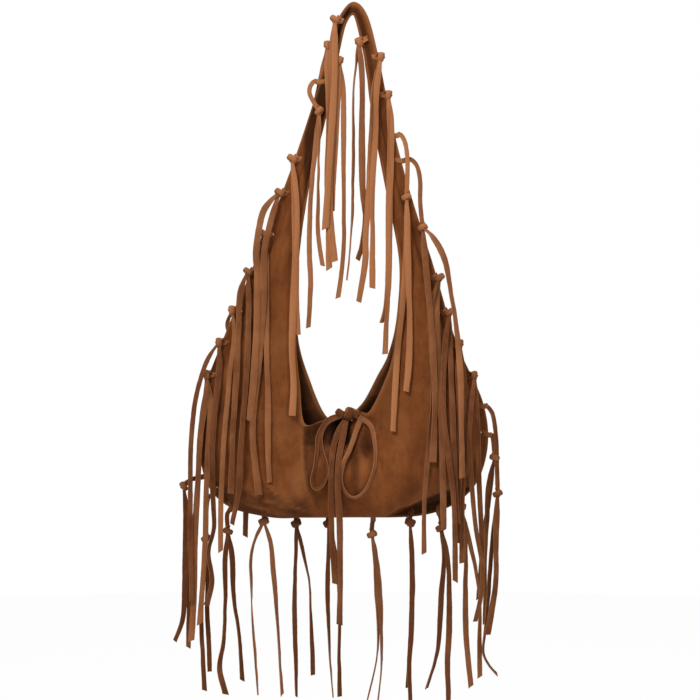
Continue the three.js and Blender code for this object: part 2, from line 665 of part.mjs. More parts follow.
const bowRightLoop = [
  [10, -502], [5, -521], [-2, -541], [-10, -559], [-13, -578], [-8, -592], [1, -599],
  [12, -594], [21, -579], [27, -559], [28, -539], [23, -514], [8, -502],
];
const bowLeftLoop = [
  [-18, -502], [-32, -511], [-38, -526], [-36, -541], [-31, -556], [-30, -571], [-36, -586],
  [-46, -590], [-50, -578], [-46, -560], [-44, -540], [-42, -524], [-30, -506], [-14, -500],
];
const bowTails = [
  [[-15, -516], [-24, -544], [-26, -581], [-25, -631], [-21, -705]],
  [[-10, -521], [-18, -569], [-15, -631], [-14, -694], [-15, -755]],
];
tieBow([-4, -498], [bowRightLoop, bowLeftLoop], bowTails);

// The holes go through both panels, so the panels come last
function punched(solid) {
  let result = solid;
  for (const { centre, reach } of holes) {
    const punch = new THREE.CylinderGeometry(holeRadius, holeRadius, 2 * (reach + suedeThickness), holeSides);
    punch.translate(centre.x, 0, centre.z);
    result = result.subtract(toSolid(punch));
  }
  return result;
}

addPiece("front_panel", punched(panelSolid("front")), suede);
addPiece("back_panel", punched(panelSolid("back")), suede);

export default bag;
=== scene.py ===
# Fringed suede shoulder bag, hanging from the crest of its own strap. Metres, Z up, front towards -Y.
import math
import random

import bmesh
import bpy
import numpy as np
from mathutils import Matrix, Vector
from mathutils.bvhtree import BVHTree


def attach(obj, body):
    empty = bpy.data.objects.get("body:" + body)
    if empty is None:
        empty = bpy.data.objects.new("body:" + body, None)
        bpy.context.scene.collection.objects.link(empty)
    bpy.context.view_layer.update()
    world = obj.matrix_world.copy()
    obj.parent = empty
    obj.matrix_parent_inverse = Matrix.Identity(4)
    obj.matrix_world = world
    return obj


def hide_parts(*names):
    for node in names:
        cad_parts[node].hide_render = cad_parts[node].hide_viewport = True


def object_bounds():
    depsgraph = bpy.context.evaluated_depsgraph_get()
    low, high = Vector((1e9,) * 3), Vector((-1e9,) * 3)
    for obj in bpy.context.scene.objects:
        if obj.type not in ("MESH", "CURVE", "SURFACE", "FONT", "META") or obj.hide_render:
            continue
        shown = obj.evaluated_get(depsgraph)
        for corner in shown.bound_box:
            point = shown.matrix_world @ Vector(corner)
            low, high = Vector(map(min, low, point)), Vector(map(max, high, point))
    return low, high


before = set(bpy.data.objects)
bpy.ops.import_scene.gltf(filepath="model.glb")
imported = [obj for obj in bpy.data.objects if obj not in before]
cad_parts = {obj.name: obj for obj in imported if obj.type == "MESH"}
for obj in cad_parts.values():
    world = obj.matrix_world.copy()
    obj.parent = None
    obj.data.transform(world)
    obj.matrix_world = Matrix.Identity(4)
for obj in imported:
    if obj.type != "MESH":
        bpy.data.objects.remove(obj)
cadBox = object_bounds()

bodyName = "root"
print("frame loaded:", len(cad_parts), "pieces")


# Small tools for nodes

def setInputs(tree, node, inputs):
    for key, value in inputs.items():
        if isinstance(value, bpy.types.NodeSocket):
            tree.links.new(value, node.inputs[key])
        else:
            node.inputs[key].default_value = value


def addNode(tree, kind, inputs=None, **settings):
    made = tree.nodes.new(kind)
    for name, value in settings.items():
        setattr(made, name, value)
    setInputs(tree, made, inputs or {})
    return made


def mathNode(tree, operation, *values):
    return addNode(tree, "ShaderNodeMath", dict(enumerate(values)), operation=operation).outputs[0]


def vectorNode(tree, operation, vector, other=None):
    inputs = {0: vector}
    if other is not None:
        inputs["Scale" if operation == "SCALE" else 1] = other
    return addNode(tree, "ShaderNodeVectorMath", inputs, operation=operation).outputs[0]


def rangeNode(tree, value, low, high, toLow=0.0, toHigh=1.0):
    inputs = {"Value": value, 1: low, 2: high, 3: toLow, 4: toHigh}
    return addNode(tree, "ShaderNodeMapRange", inputs).outputs[0]


def noiseNode(tree, inputs, **settings):
    return addNode(tree, "ShaderNodeTexNoise", inputs, **settings).outputs["Fac"]


def addSockets(tree, way, kind, sockets):
    for name, value in sockets.items():
        made = tree.interface.new_socket(name, in_out=way, socket_type=f"NodeSocket{kind}")
        if value is not None:
            made.default_value = value


# Small tools for lines and meshes

def splineAt(p0, p1, p2, p3, f):
    bend = 2 * p0 - 5 * p1 + 4 * p2 - p3
    twist = 3 * p1 - p0 - 3 * p2 + p3
    return 0.5 * (2 * p1 + (p2 - p0) * f + bend * f**2 + twist * f**3)


def smoothClosed(points, steps):
    # uniform Catmull-Rom spline through a closed row of points
    points = np.asarray(points, float)
    place = np.arange(len(points) * steps) / steps
    index = place.astype(int)
    return splineAt(*(points[(index + k) % len(points)] for k in (-1, 0, 1, 2)), (place - index)[:, None])


def smoothOpen(points, spacing, stepsBetween=24):
    # the same spline through an open row of points, with evenly spaced results
    points = np.asarray(points, float)
    padded = np.vstack([2 * points[0] - points[1], points, 2 * points[-1] - points[-2]])
    f = np.linspace(0, 1, stepsBetween, endpoint=False)[:, None]
    fine = [splineAt(*padded[i:i + 4], f) for i in range(len(points) - 1)]
    return evenly(np.vstack(fine + [points[-1:]]), spacing)


def lengthsAlong(line):
    return np.concatenate([[0], np.cumsum(np.linalg.norm(np.diff(line, axis=0), axis=1))])


def evenly(line, spacing):
    travelled = lengthsAlong(line)
    count = max(int(math.ceil(travelled[-1] / spacing)), 2)
    marks = np.linspace(0, travelled[-1], count + 1)
    return np.column_stack([np.interp(marks, travelled, line[:, k]) for k in range(line.shape[1])])


def smoothStep(value, low, high):
    share = np.clip((value - low) / (high - low), 0, 1)
    return share * share * (3 - 2 * share)


def unit(rows):
    return rows / np.maximum(np.linalg.norm(rows, axis=1), 1e-9)[:, None]


def addObject(name, data):
    made = bpy.data.objects.new(name, data)
    bpy.context.scene.collection.objects.link(made)
    return made


def meshObject(name, verts, faces, edges=()):
    mesh = bpy.data.meshes.new(name)
    mesh.from_pydata([tuple(v) for v in verts], list(edges), faces)
    return addObject(name, mesh)


def pointLayer(mesh, name, values):
    layer = mesh.attributes.new(name, "FLOAT", "POINT")
    layer.data.foreach_set("value", np.asarray(values, np.float32).ravel())


def finishedMesh(item, sharpAngle):
    # what an object's modifiers make of it, as a plain mesh with soft shading
    made = bpy.data.meshes.new_from_object(item.evaluated_get(bpy.context.evaluated_depsgraph_get()))
    made.shade_smooth()
    made.set_sharp_from_angle(angle=math.radians(sharpAngle))
    return made


# Camera, light and floor, at the photograph's frontal angle

studio = {
    "viewCentre": (-0.0025, -0.4188),   # x and z of the photograph's middle
    "viewWidth": 0.875,                 # what the photograph spans at the bag
    "lens": 110,
    "skyColour": (1, 0.985, 0.965, 1),
    "skyStrength": 0.34,
    "floorBelow": 0.2,                  # from the lowest lace to the floor
    "floorRadius": 3.0,
    "floorSides": 95,
    "floorColour": (0.8, 0.8, 0.8, 1),
    "floorWhite": 0.97,                 # how much of the floor fades into the white behind it
    "lightTarget": (0, 0, -0.42),
    "lights": [                         # name, place, size and watts
        ("keyLight", (-0.7, -2.0, 1.1), 0.7, 38),
        ("fillLight", (1.5, -1.7, 0.0), 1.4, 9),
        ("topLight", (0.2, 0.1, 1.2), 1.0, 10),
        ("backLight", (0.3, 1.8, 0.3), 1.4, 12),
    ],
}


def makeCamera():
    data = bpy.data.cameras.new("camera")
    data.lens = studio["lens"]
    camera = addObject("camera", data)
    distance = studio["viewWidth"] * data.lens / data.sensor_width
    camera.location = (studio["viewCentre"][0], -distance, studio["viewCentre"][1])
    camera.rotation_euler = (math.radians(90), 0, 0)
    bpy.context.scene.camera = camera


def makeLight(name, place, size, watts):
    data = bpy.data.lights.new(name, "AREA")
    data.shape = "DISK"
    data.size = size
    data.energy = watts
    light = addObject(name, data)
    light.location = place
    light.rotation_euler = (Vector(studio["lightTarget"]) - Vector(place)).to_track_quat("-Z", "Y").to_euler()


def whiteToCamera(tree, lit, white, share):
    # plain white over a shader, only where the camera, a reflection or a clear thing sees it
    path = addNode(tree, "ShaderNodeLightPath").outputs
    seen = mathNode(tree, "MAXIMUM", path["Is Camera Ray"], path["Is Glossy Ray"])
    seen = mathNode(tree, "MAXIMUM", seen, path["Is Transmission Ray"])
    amount = mathNode(tree, "MULTIPLY", seen, share)
    inputs = {0: amount, 1: lit.outputs[0], 2: white.outputs[0]}
    return addNode(tree, "ShaderNodeMixShader", inputs).outputs[0]


def makeWorld():
    world = bpy.data.worlds.new("studio")
    world.use_nodes = True
    tree = world.node_tree
    tree.nodes.clear()
    sky = {"Color": studio["skyColour"], "Strength": studio["skyStrength"]}
    lit = addNode(tree, "ShaderNodeBackground", sky)
    white = addNode(tree, "ShaderNodeBackground", {"Color": (1, 1, 1, 1), "Strength": 1.0})
    addNode(tree, "ShaderNodeOutputWorld", {"Surface": whiteToCamera(tree, lit, white, 1.0)})
    bpy.context.scene.world = world


def makeFloor():
    ground = bpy.data.materials.new("paleFloor")
    ground.use_nodes = True
    tree = ground.node_tree
    tree.nodes.clear()
    lit = addNode(tree, "ShaderNodeBsdfDiffuse", {"Color": studio["floorColour"]})
    white = addNode(tree, "ShaderNodeEmission", {"Color": (1, 1, 1, 1), "Strength": 1.0})
    surface = whiteToCamera(tree, lit, white, studio["floorWhite"])
    addNode(tree, "ShaderNodeOutputMaterial", {"Surface": surface})
    level = cadBox[0].z - studio["floorBelow"]
    radius, sides = studio["floorRadius"], studio["floorSides"]
    turns = np.linspace(0, 2 * math.pi, sides + 1)[:-1]
    ring = [(radius * math.cos(t), radius * math.sin(t), level) for t in turns]
    floor = meshObject("floor", ring, [tuple(range(sides))])
    floor.data.materials.append(ground)


makeCamera()
makeWorld()
makeFloor()
for light in studio["lights"]:
    makeLight(*light)
bpy.context.scene.view_settings.view_transform = "Standard"
print("studio ready")


# Shader groups shared by the suedes

def suedeGrainGroup():
    # brushed patches, fine nap and its fibres, from a place on the hide
    tree = bpy.data.node_groups.new("suedeGrain", "ShaderNodeTree")
    addSockets(tree, "INPUT", "Vector", {"Vector": None})
    addSockets(tree, "INPUT", "Float", {"Patch Size": 0.03, "Nap Size": 0.0011, "Brushing": 0.35})
    addSockets(tree, "OUTPUT", "Float", {"Patches": None, "Nap": None, "Height": None})
    place, patchSize, napSize, brushing = addNode(tree, "NodeGroupInput").outputs[:4]
    patchScale = mathNode(tree, "DIVIDE", 1.0, patchSize)
    napScale = mathNode(tree, "DIVIDE", 1.0, napSize)
    broad = noiseNode(tree, {"Vector": place, "Scale": patchScale,
                             "Detail": 4.0, "Roughness": 0.6, "Distortion": 0.6})
    brushed = vectorNode(tree, "MULTIPLY", place, (1.0, 1.0, 0.22))
    streaks = noiseNode(tree, {"Vector": brushed, "Scale": mathNode(tree, "MULTIPLY", patchScale, 7.0),
                               "Detail": 3.0, "Roughness": 0.55, "Distortion": 1.2})
    patches = addNode(tree, "ShaderNodeMix", {0: brushing, 2: broad, 3: streaks}).outputs[0]
    nap = noiseNode(tree, {"Vector": place, "Scale": napScale,
                           "Detail": 5.0, "Roughness": 0.7, "Distortion": 0.4})
    fibreScale = mathNode(tree, "MULTIPLY", napScale, 2.6)
    fibres = addNode(tree, "ShaderNodeTexVoronoi", {"Vector": place, "Scale": fibreScale, "Randomness": 1.0})
    height = mathNode(tree, "MULTIPLY_ADD", fibres.outputs["Distance"], 0.4, nap)
    addNode(tree, "NodeGroupOutput", {"Patches": patches, "Nap": nap, "Height": height})


def suedeColourGroup():
    # colour of a suede from its two dyes, its grain, how far it is rubbed and lightened by painted highlight,
    # and how deep in painted shade it is
    tree = bpy.data.node_groups.new("suedeColour", "ShaderNodeTree")
    addSockets(tree, "INPUT", "Color", {"Dark": (0.1, 0.04, 0.02, 1), "Light": (0.25, 0.1, 0.04, 1),
                                        "Rubbed And Lit": (0.35, 0.17, 0.08, 1)})
    addSockets(tree, "INPUT", "Float", {"Patches": 0.5, "Nap": 0.5, "Wear": 0.0, "Shade": 0.0})
    addSockets(tree, "OUTPUT", "Color", {"Color": None})
    dark, light, rubbedAndLit, patches, nap, wear, shade = addNode(tree, "NodeGroupInput").outputs[:7]

    def mixed(share, first, second):
        return addNode(tree, "ShaderNodeMix", {0: share, 6: first, 7: second}, data_type="RGBA").outputs[2]

    dye = mixed(rangeNode(tree, patches, 0.32, 0.68), dark, light)
    grained = vectorNode(tree, "SCALE", dye, rangeNode(tree, nap, 0.25, 0.75, 0.8, 1.2))
    # lighter where rubbed and where a highlight is painted, then darkened by the painted shade
    wornAndLit = mixed(wear, grained, rubbedAndLit)
    shaded = vectorNode(tree, "SCALE", wornAndLit, rangeNode(tree, shade, 0.0, 1.0, 1.0, 0.05))
    addNode(tree, "NodeGroupOutput", {"Color": shaded})


def suedeMaterial(name, look):
    made = bpy.data.materials.new(name)
    made.use_nodes = True
    tree = made.node_tree
    groups = bpy.data.node_groups
    grain = addNode(tree, "ShaderNodeGroup", {
        "Vector": addNode(tree, "ShaderNodeTexCoord").outputs["Object"],
        "Patch Size": look["patchSize"], "Nap Size": look["napSize"], "Brushing": look["brushing"],
    }, node_tree=groups["suedeGrain"]).outputs
    wear, shade, tone = (addNode(tree, "ShaderNodeAttribute", attribute_name=layer).outputs["Fac"]
                         for layer in ("wear", "shade", "tone"))
    centred = mathNode(tree, "SUBTRACT", grain["Patches"], 0.5)
    mottled = mathNode(tree, "MULTIPLY_ADD", centred, look["mottling"], 0.5)
    colour = addNode(tree, "ShaderNodeGroup", {
        "Dark": (*look["dark"], 1), "Light": (*look["light"], 1), "Rubbed And Lit": (*look["rubbedAndLit"], 1),
        "Patches": mathNode(tree, "ADD", mottled, tone), "Nap": grain["Nap"], "Wear": wear, "Shade": shade,
    }, node_tree=groups["suedeColour"]).outputs[0]
    bump = addNode(tree, "ShaderNodeBump", {"Strength": look["bump"], "Distance": look["bumpDepth"],
                                            "Height": grain["Height"]}).outputs[0]
    setInputs(tree, tree.nodes["Principled BSDF"], {
        "Base Color": colour, "Normal": bump, "Roughness": look["roughness"], "Specular IOR Level": 0.1,
        "Sheen Weight": look["sheen"], "Sheen Roughness": 0.45, "Sheen Tint": (*look["rubbedAndLit"], 1),
    })
    return made


suedeLooks = {
    "bodySuede": {
        "dark": (0.118, 0.033, 0.0085), "light": (0.225, 0.070, 0.019), "rubbedAndLit": (0.31, 0.115, 0.038),
        "patchSize": 0.055, "mottling": 1.15, "napSize": 0.0012, "brushing": 0.35,
        "bump": 0.4, "bumpDepth": 0.0005, "roughness": 0.92, "sheen": 0.07,
    },
    # the panels' inner face: its suede darkened as painted shade for the inside of the bag
    "fleshSidePaintedShade": {
        "dark": (0.060, 0.020, 0.007), "light": (0.105, 0.036, 0.012), "rubbedAndLit": (0.26, 0.10, 0.038),
        "patchSize": 0.03, "mottling": 1.0, "napSize": 0.0016, "brushing": 0.2,
        "bump": 0.4, "bumpDepth": 0.0005, "roughness": 0.95, "sheen": 0.05,
    },
    # cut edges: paler raw suede, partly brightened as a painted highlight along the lit edges
    "cutEdge": {
        "dark": (0.22, 0.082, 0.028), "light": (0.34, 0.140, 0.052), "rubbedAndLit": (0.40, 0.19, 0.08),
        "patchSize": 0.012, "mottling": 1.0, "napSize": 0.0008, "brushing": 0.3,
        "bump": 0.5, "bumpDepth": 0.0003, "roughness": 0.9, "sheen": 0.08,
    },
    "laceSuede": {
        "dark": (0.128, 0.040, 0.0135), "light": (0.40, 0.158, 0.063), "rubbedAndLit": (0.45, 0.20, 0.09),
        "patchSize": 0.05, "mottling": 0.5, "napSize": 0.0009, "brushing": 0.3,
        "bump": 0.4, "bumpDepth": 0.0004, "roughness": 0.9, "sheen": 0.08,
    },
}
suedeGrainGroup()
suedeColourGroup()
materials = {name: suedeMaterial(name, look) for name, look in suedeLooks.items()}
print("suedes ready")


# Body of the bag: a front and a back panel, each a closed crescent of suede

crescent = {
    "thickness": 0.0014,
    "seamGap": 0.0004,
    "flatRim": 0.014,            # flat suede with the punched holes, along the rim
    "slimShare": 0.62,           # most of a slim strap that the flat rim takes
    "fullnessSkew": 0.62,
    "fullnessSoftness": 0.02,
    "backFullness": 0.85,
    "stepsBetween": 32,          # rows between two stations
    "columns": 62,
    "columnSkew": 1.2,           # over 1 packs the columns towards the rim
    "hollowCentre": (-0.010, -0.522),
    "hollowRadius": 0.020,
    "hollowDepth": 0.012,
    "sag": 0.0185,               # how far the belly hangs over the flat rim at the bottom
    "sagHeights": (0.570, 0.612),  # depths under the mount over which the sag sets in
    "sagEnds": (0.040, 0.085),   # x over which it stops at the front panel's crease
    "sagStart": 0.06,            # shares of the way from the flat rim to the mouth
    "sagCentre": 0.08,
    "sagSpread": 0.16,
    "ripple": 0.0016,
    "stiffRipple": 0.35,         # share of the ripple on the flat parts
    "bodySwell": (0.004, 0.03),  # swell over which the suede gets all of it
    "reliefEnds": (0.03, 0.93),  # folds fade out before the flat rim and the mouth
    "stepReach": 5,              # widths of a step over which it fades out to its sides
    "waves": ((0.09, 1.0), (0.05, 0.6), (0.026, 0.3), (0.014, 0.14)),   # lengths and heights of the ripple
    "wavesEach": 5,
    "waveHeight": 0.45,
    "waveStretch": (0.8, 1.25),
    "sharpAngle": 50,
    "seed": 7,
}
seamHalf = crescent["seamGap"] / 2 + crescent["thickness"] / 2

# rim, front and back mouth edge as x and z, swell, and how far the mouth stands off the seam,
# from the crest down the left horn, round the bottom and up the right horn
stations = [
    ((0.000, 0.016), (0.000, 0.000), (0.000, 0.000), 0.002, 0.000),
    ((-0.020, -0.010), (-0.009, -0.016), (-0.009, -0.016), 0.002, 0.000),
    ((-0.032, -0.056), (-0.018, -0.056), (-0.018, -0.056), 0.002, 0.000),
    ((-0.052, -0.121), (-0.031, -0.121), (-0.031, -0.121), 0.003, 0.000),
    ((-0.079, -0.200), (-0.051, -0.202), (-0.051, -0.202), 0.005, 0.000),
    ((-0.118, -0.300), (-0.066, -0.300), (-0.066, -0.300), 0.010, 0.002),
    ((-0.159, -0.400), (-0.070, -0.400), (-0.068, -0.400), 0.019, 0.006),
    ((-0.186, -0.475), (-0.065, -0.462), (-0.051, -0.462), 0.031, 0.012),
    ((-0.191, -0.544), (-0.059, -0.510), (-0.034, -0.500), 0.040, 0.015),
    ((-0.172, -0.600), (-0.035, -0.506), (-0.021, -0.505), 0.045, 0.009),
    ((-0.118, -0.625), (-0.015, -0.499), (-0.012, -0.501), 0.048, 0.004),
    ((0.000, -0.628), (-0.001, -0.498), (-0.001, -0.498), 0.050, 0.0025),
    ((0.095, -0.624), (0.011, -0.496), (0.009, -0.490), 0.048, 0.004),
    ((0.148, -0.595), (0.022, -0.495), (0.018, -0.478), 0.044, 0.009),
    ((0.169, -0.544), (0.038, -0.464), (0.032, -0.451), 0.039, 0.012),
    ((0.164, -0.485), (0.050, -0.429), (0.045, -0.425), 0.030, 0.009),
    ((0.131, -0.410), (0.056, -0.379), (0.056, -0.379), 0.019, 0.005),
    ((0.102, -0.314), (0.059, -0.306), (0.059, -0.306), 0.010, 0.002),
    ((0.071, -0.216), (0.042, -0.216), (0.042, -0.216), 0.005, 0.000),
    ((0.049, -0.131), (0.026, -0.131), (0.026, -0.131), 0.003, 0.000),
    ((0.034, -0.056), (0.016, -0.059), (0.016, -0.059), 0.002, 0.000),
    ((0.019, 0.000), (0.006, -0.011), (0.006, -0.011), 0.002, 0.000),
]

# Folds pressed into the suede: kind, height, width and path. A ridge stands out, a furrow lies in, and a
# step raises the side to the left of its path over the side to the right.
folds = {
    "front": [
        ("step", 0.0080, 0.0060, [(-0.040, -0.620), (-0.047, -0.607), (-0.056, -0.581), (-0.060, -0.544),
                                  (-0.061, -0.514)]),
        ("furrow", 0.0035, 0.0050, [(-0.088, -0.565), (-0.078, -0.592), (-0.062, -0.612), (-0.044, -0.624)]),
        ("step", 0.0070, 0.0028, [(-0.148, -0.600), (-0.128, -0.610), (-0.104, -0.619), (-0.070, -0.626)]),
        ("step", 0.0066, 0.0026, [(-0.139, -0.583), (-0.122, -0.597), (-0.098, -0.609), (-0.060, -0.617)]),
        ("step", 0.0058, 0.0030, [(-0.110, -0.580), (-0.094, -0.597), (-0.072, -0.612), (-0.052, -0.623)]),
        ("furrow", 0.0060, 0.0075, [(0.000, -0.520), (0.000, -0.545), (-0.003, -0.575), (-0.006, -0.600)]),
        ("furrow", 0.0070, 0.0090, [(0.019, -0.512), (0.021, -0.535), (0.027, -0.560)]),
        ("furrow", 0.0080, 0.0110, [(-0.056, -0.524), (-0.042, -0.526), (-0.028, -0.526), (-0.010, -0.526)]),
        ("ridge", 0.0035, 0.0070, [(-0.045, -0.520), (-0.052, -0.560), (-0.050, -0.600)]),
        ("furrow", 0.0045, 0.0140, [(0.091, -0.470), (0.091, -0.531), (0.079, -0.581), (0.064, -0.615)]),
        ("ridge", 0.0040, 0.0150, [(0.052, -0.470), (0.058, -0.520), (0.056, -0.575)]),
        ("step", 0.0120, 0.0030, [(0.036, -0.630), (0.060, -0.619), (0.079, -0.608), (0.097, -0.598),
                                  (0.116, -0.592), (0.143, -0.588)]),
        ("furrow", 0.0035, 0.0080, [(-0.124, -0.440), (-0.127, -0.500), (-0.124, -0.570)]),
        ("ridge", 0.0030, 0.0120, [(-0.078, -0.380), (-0.080, -0.450), (-0.084, -0.530)]),
        ("furrow", 0.0022, 0.0050, [(0.074, -0.300), (0.083, -0.370), (0.098, -0.440)]),
        ("furrow", 0.0016, 0.0040, [(-0.067, -0.215), (-0.086, -0.290), (-0.104, -0.370)]),
    ],
    "back": [
        ("furrow", 0.0080, 0.0100, [(-0.006, -0.515), (-0.010, -0.560), (-0.020, -0.600)]),
        ("ridge", 0.0060, 0.0140, [(0.030, -0.490), (0.040, -0.550), (0.050, -0.605)]),
        ("furrow", 0.0070, 0.0120, [(-0.090, -0.430), (-0.100, -0.500), (-0.086, -0.580)]),
        ("ridge", 0.0050, 0.0100, [(0.110, -0.430), (0.118, -0.500), (0.104, -0.570)]),
        ("furrow", 0.0060, 0.0070, [(0.078, -0.440), (0.082, -0.520), (0.070, -0.590)]),
        ("furrow", 0.0050, 0.0060, [(-0.140, -0.560), (-0.110, -0.590), (-0.060, -0.606), (0.000, -0.608)]),
        ("step", 0.0060, 0.0040, [(-0.040, -0.585), (0.000, -0.602), (0.040, -0.608), (0.090, -0.598)]),
        ("furrow", 0.0030, 0.0060, [(0.078, -0.320), (0.088, -0.380), (0.100, -0.440)]),
        ("furrow", 0.0030, 0.0060, [(-0.076, -0.280), (-0.088, -0.350), (-0.104, -0.420)]),
    ],
}

# Painted shade: where the bag lies in the shade its suede colour is darkened, from 0 for none to 1 for the
# darkest.
shading = {
    "stepShade": 0.75,                  # beside a step's raised side
    "stepSoftness": (-0.001, 0.003),
    "stepReach": 1.5,                   # widths of the step over which that fades
    "hollows": [                        # centre, half width, half height and shade
        (0.018, -0.535, 0.009, 0.016, 0.6),
        (0.004, -0.565, 0.006, 0.034, 0.4),
        (-0.010, -0.600, 0.010, 0.022, 0.35),
        (-0.070, -0.604, 0.018, 0.006, 0.35),
    ],
    "recessLeft": (-0.0625, -0.0575),   # the recess under the front lip, left of the tie
    "recessRight": (-0.004, 0.003),
    "recessBottom": (-0.5425, -0.5345),
    "recessDeepens": (-0.031, -0.022),
    "recessShade": (0.74, 0.97),
    "underside": 0.42,                  # where the belly turns down, left
    "undersideLine": [
        (-0.19, -0.575), (-0.14, -0.587), (-0.10, -0.592), (-0.075, -0.595), (-0.060, -0.606),
        (-0.045, -0.624),
    ],
    "undersideSoftness": 0.006,
    "undersideEnds": (0.035, 0.050),
    "crease": 0.8,                      # and right
    "creaseLine": [
        (0.036, -0.630), (0.060, -0.619), (0.079, -0.608), (0.097, -0.598), (0.116, -0.592), (0.143, -0.588),
        (0.16, -0.586),
    ],
    "creaseSoftness": 0.003,
    "creaseFrom": (0.035, -0.590),
    "crest": 0.68,                      # the inner half of the strap's crest
    "crestAcross": (0.25, 0.6, 0.95),
    "crestHeights": (-0.12, -0.02),
    "ends": 0.3,                        # both ends of the body, towards the seam
    "endsMiddle": 0.001,
    "endsAcross": (0.135, 0.185),
    "endsBelow": (0.42, 0.52),
    "inside": (0.004, 0.045),           # from the mouth inwards
}

# where the nap is rubbed and a painted highlight lightens it: on raised folds and along the cut edges
rubbingAndHighlights = {
    "stepLine": 0.8,
    "stepAt": 0.0022,
    "stepWidth": 0.0017,
    "stepGain": 1.8,
    "fullHeight": 0.006,                # height of a fold that is rubbed and highlit to the full
    "onFolds": 0.4,
    "onEdges": 0.75,
    "mouthWidth": 0.0045,
    "rim": 0.7,
    "rimWidth": (0.001, 0.0035),
    "crestWidth": 0.003,                # wider at the crest, as a painted highlight on its lit top rim
    "crestHeights": (-0.09, -0.03),
    # how far rubbing and painted highlight lift the painted shade
    "edgeLightens": 0.9,
    "foldLightens": 0.8,
    "foldLightensFrom": 0.5,
}


def fullness(share):
    # how full a panel is between its flat rim (0) and its mouth (1)
    soft = crescent["fullnessSoftness"]
    eased = (np.sqrt(share**2 + soft**2) - soft) / (math.hypot(1, soft) - soft)
    return np.sin(np.pi * eased ** crescent["fullnessSkew"])


def foldRelief(x, z, side):
    # height of the folds, how deep in the painted shade of a raised side each point lies, and how rubbed and
    # highlit its edge is
    relief = np.zeros_like(x)
    shade = np.zeros_like(x)
    rubbedAndLit = np.zeros_like(x)
    for kind, height, width, path in folds[side]:
        line = smoothOpen(path, 0.003)
        along = np.gradient(line, axis=0)
        along /= np.linalg.norm(along, axis=1)[:, None]
        dx = x[..., None] - line[:, 0]
        dz = z[..., None] - line[:, 1]
        nearest = np.argmin(dx**2 + dz**2, axis=-1)
        takes = nearest[..., None]
        dx = np.take_along_axis(dx, takes, -1)[..., 0]
        dz = np.take_along_axis(dz, takes, -1)[..., 0]
        away = np.hypot(dx, dz)
        leftOf = along[nearest, 0] * dz - along[nearest, 1] * dx
        taper = np.sin(np.pi * np.clip((nearest + 0.5) / len(line), 0, 1)) ** 0.5
        if kind == "step":
            signed = np.where(leftOf > 0, away, -away)
            near = np.exp(-away / (shading["stepReach"] * width))
            fading = np.exp(-away / (crescent["stepReach"] * width))
            relief += height * taper * np.tanh(signed / width) * fading * 0.5
            # painted shade on the low side of a step, and along its raised edge a line that is partly rubbed
            # nap and partly painted highlight
            shade += shading["stepShade"] * taper * smoothStep(-signed, *shading["stepSoftness"]) * near
            onLine = np.exp(-((signed - rubbingAndHighlights["stepAt"]) / rubbingAndHighlights["stepWidth"]) ** 2)
            rubbedAndLit += rubbingAndHighlights["stepLine"] * taper * onLine
        else:
            way = 1 if kind == "ridge" else -1
            relief += way * height * taper * np.exp(-(away / width) ** 2)
    return relief, np.clip(shade, 0, 1), np.clip(rubbedAndLit, 0, 1)


def wavesOver(x, z, seed):
    # soft random waves of a few lengths, each with its height
    draw = np.random.default_rng(seed)
    total = np.zeros_like(x)
    for length, height in crescent["waves"]:
        for _ in range(crescent["wavesEach"]):
            angle, phase = draw.uniform(0, 2 * math.pi, 2)
            k = 2 * math.pi / (length * draw.uniform(*crescent["waveStretch"]))
            wave = np.sin(k * (x * math.cos(angle) + z * math.sin(angle)) + phase)
            total += height * crescent["waveHeight"] * wave
    return total


def belowLine(x, z, line, softness):
    lineX, lineZ = np.array(line).T
    return smoothStep(np.interp(x, lineX, lineZ) - z, 0, softness)


def frontShade(x, z, shade):
    # painted shade in the hollows, the recess and the belly's underside
    for cx, cz, halfWidth, halfHeight, strength in shading["hollows"]:
        away = ((x - cx) / halfWidth) ** 2 + ((z - cz) / halfHeight) ** 2
        shade = np.maximum(shade, strength * np.exp(-away**2))
    within = smoothStep(x, *shading["recessLeft"]) * (1 - smoothStep(x, *shading["recessRight"]))
    within = within * smoothStep(z, *shading["recessBottom"])
    light, dark = shading["recessShade"]
    shade = np.maximum(shade, within * (light + (dark - light) * smoothStep(x, *shading["recessDeepens"])))
    turnedDown = belowLine(x, z, shading["undersideLine"], shading["undersideSoftness"])
    turnedDown = turnedDown * smoothStep(-x, *shading["undersideEnds"])
    shade = np.maximum(shade, shading["underside"] * turnedDown)
    fromX, fromZ = shading["creaseFrom"]
    creased = belowLine(x, z, shading["creaseLine"], shading["creaseSoftness"])
    return np.where((z < fromZ) & (x > fromX), np.maximum(shade, shading["crease"] * creased), shade)


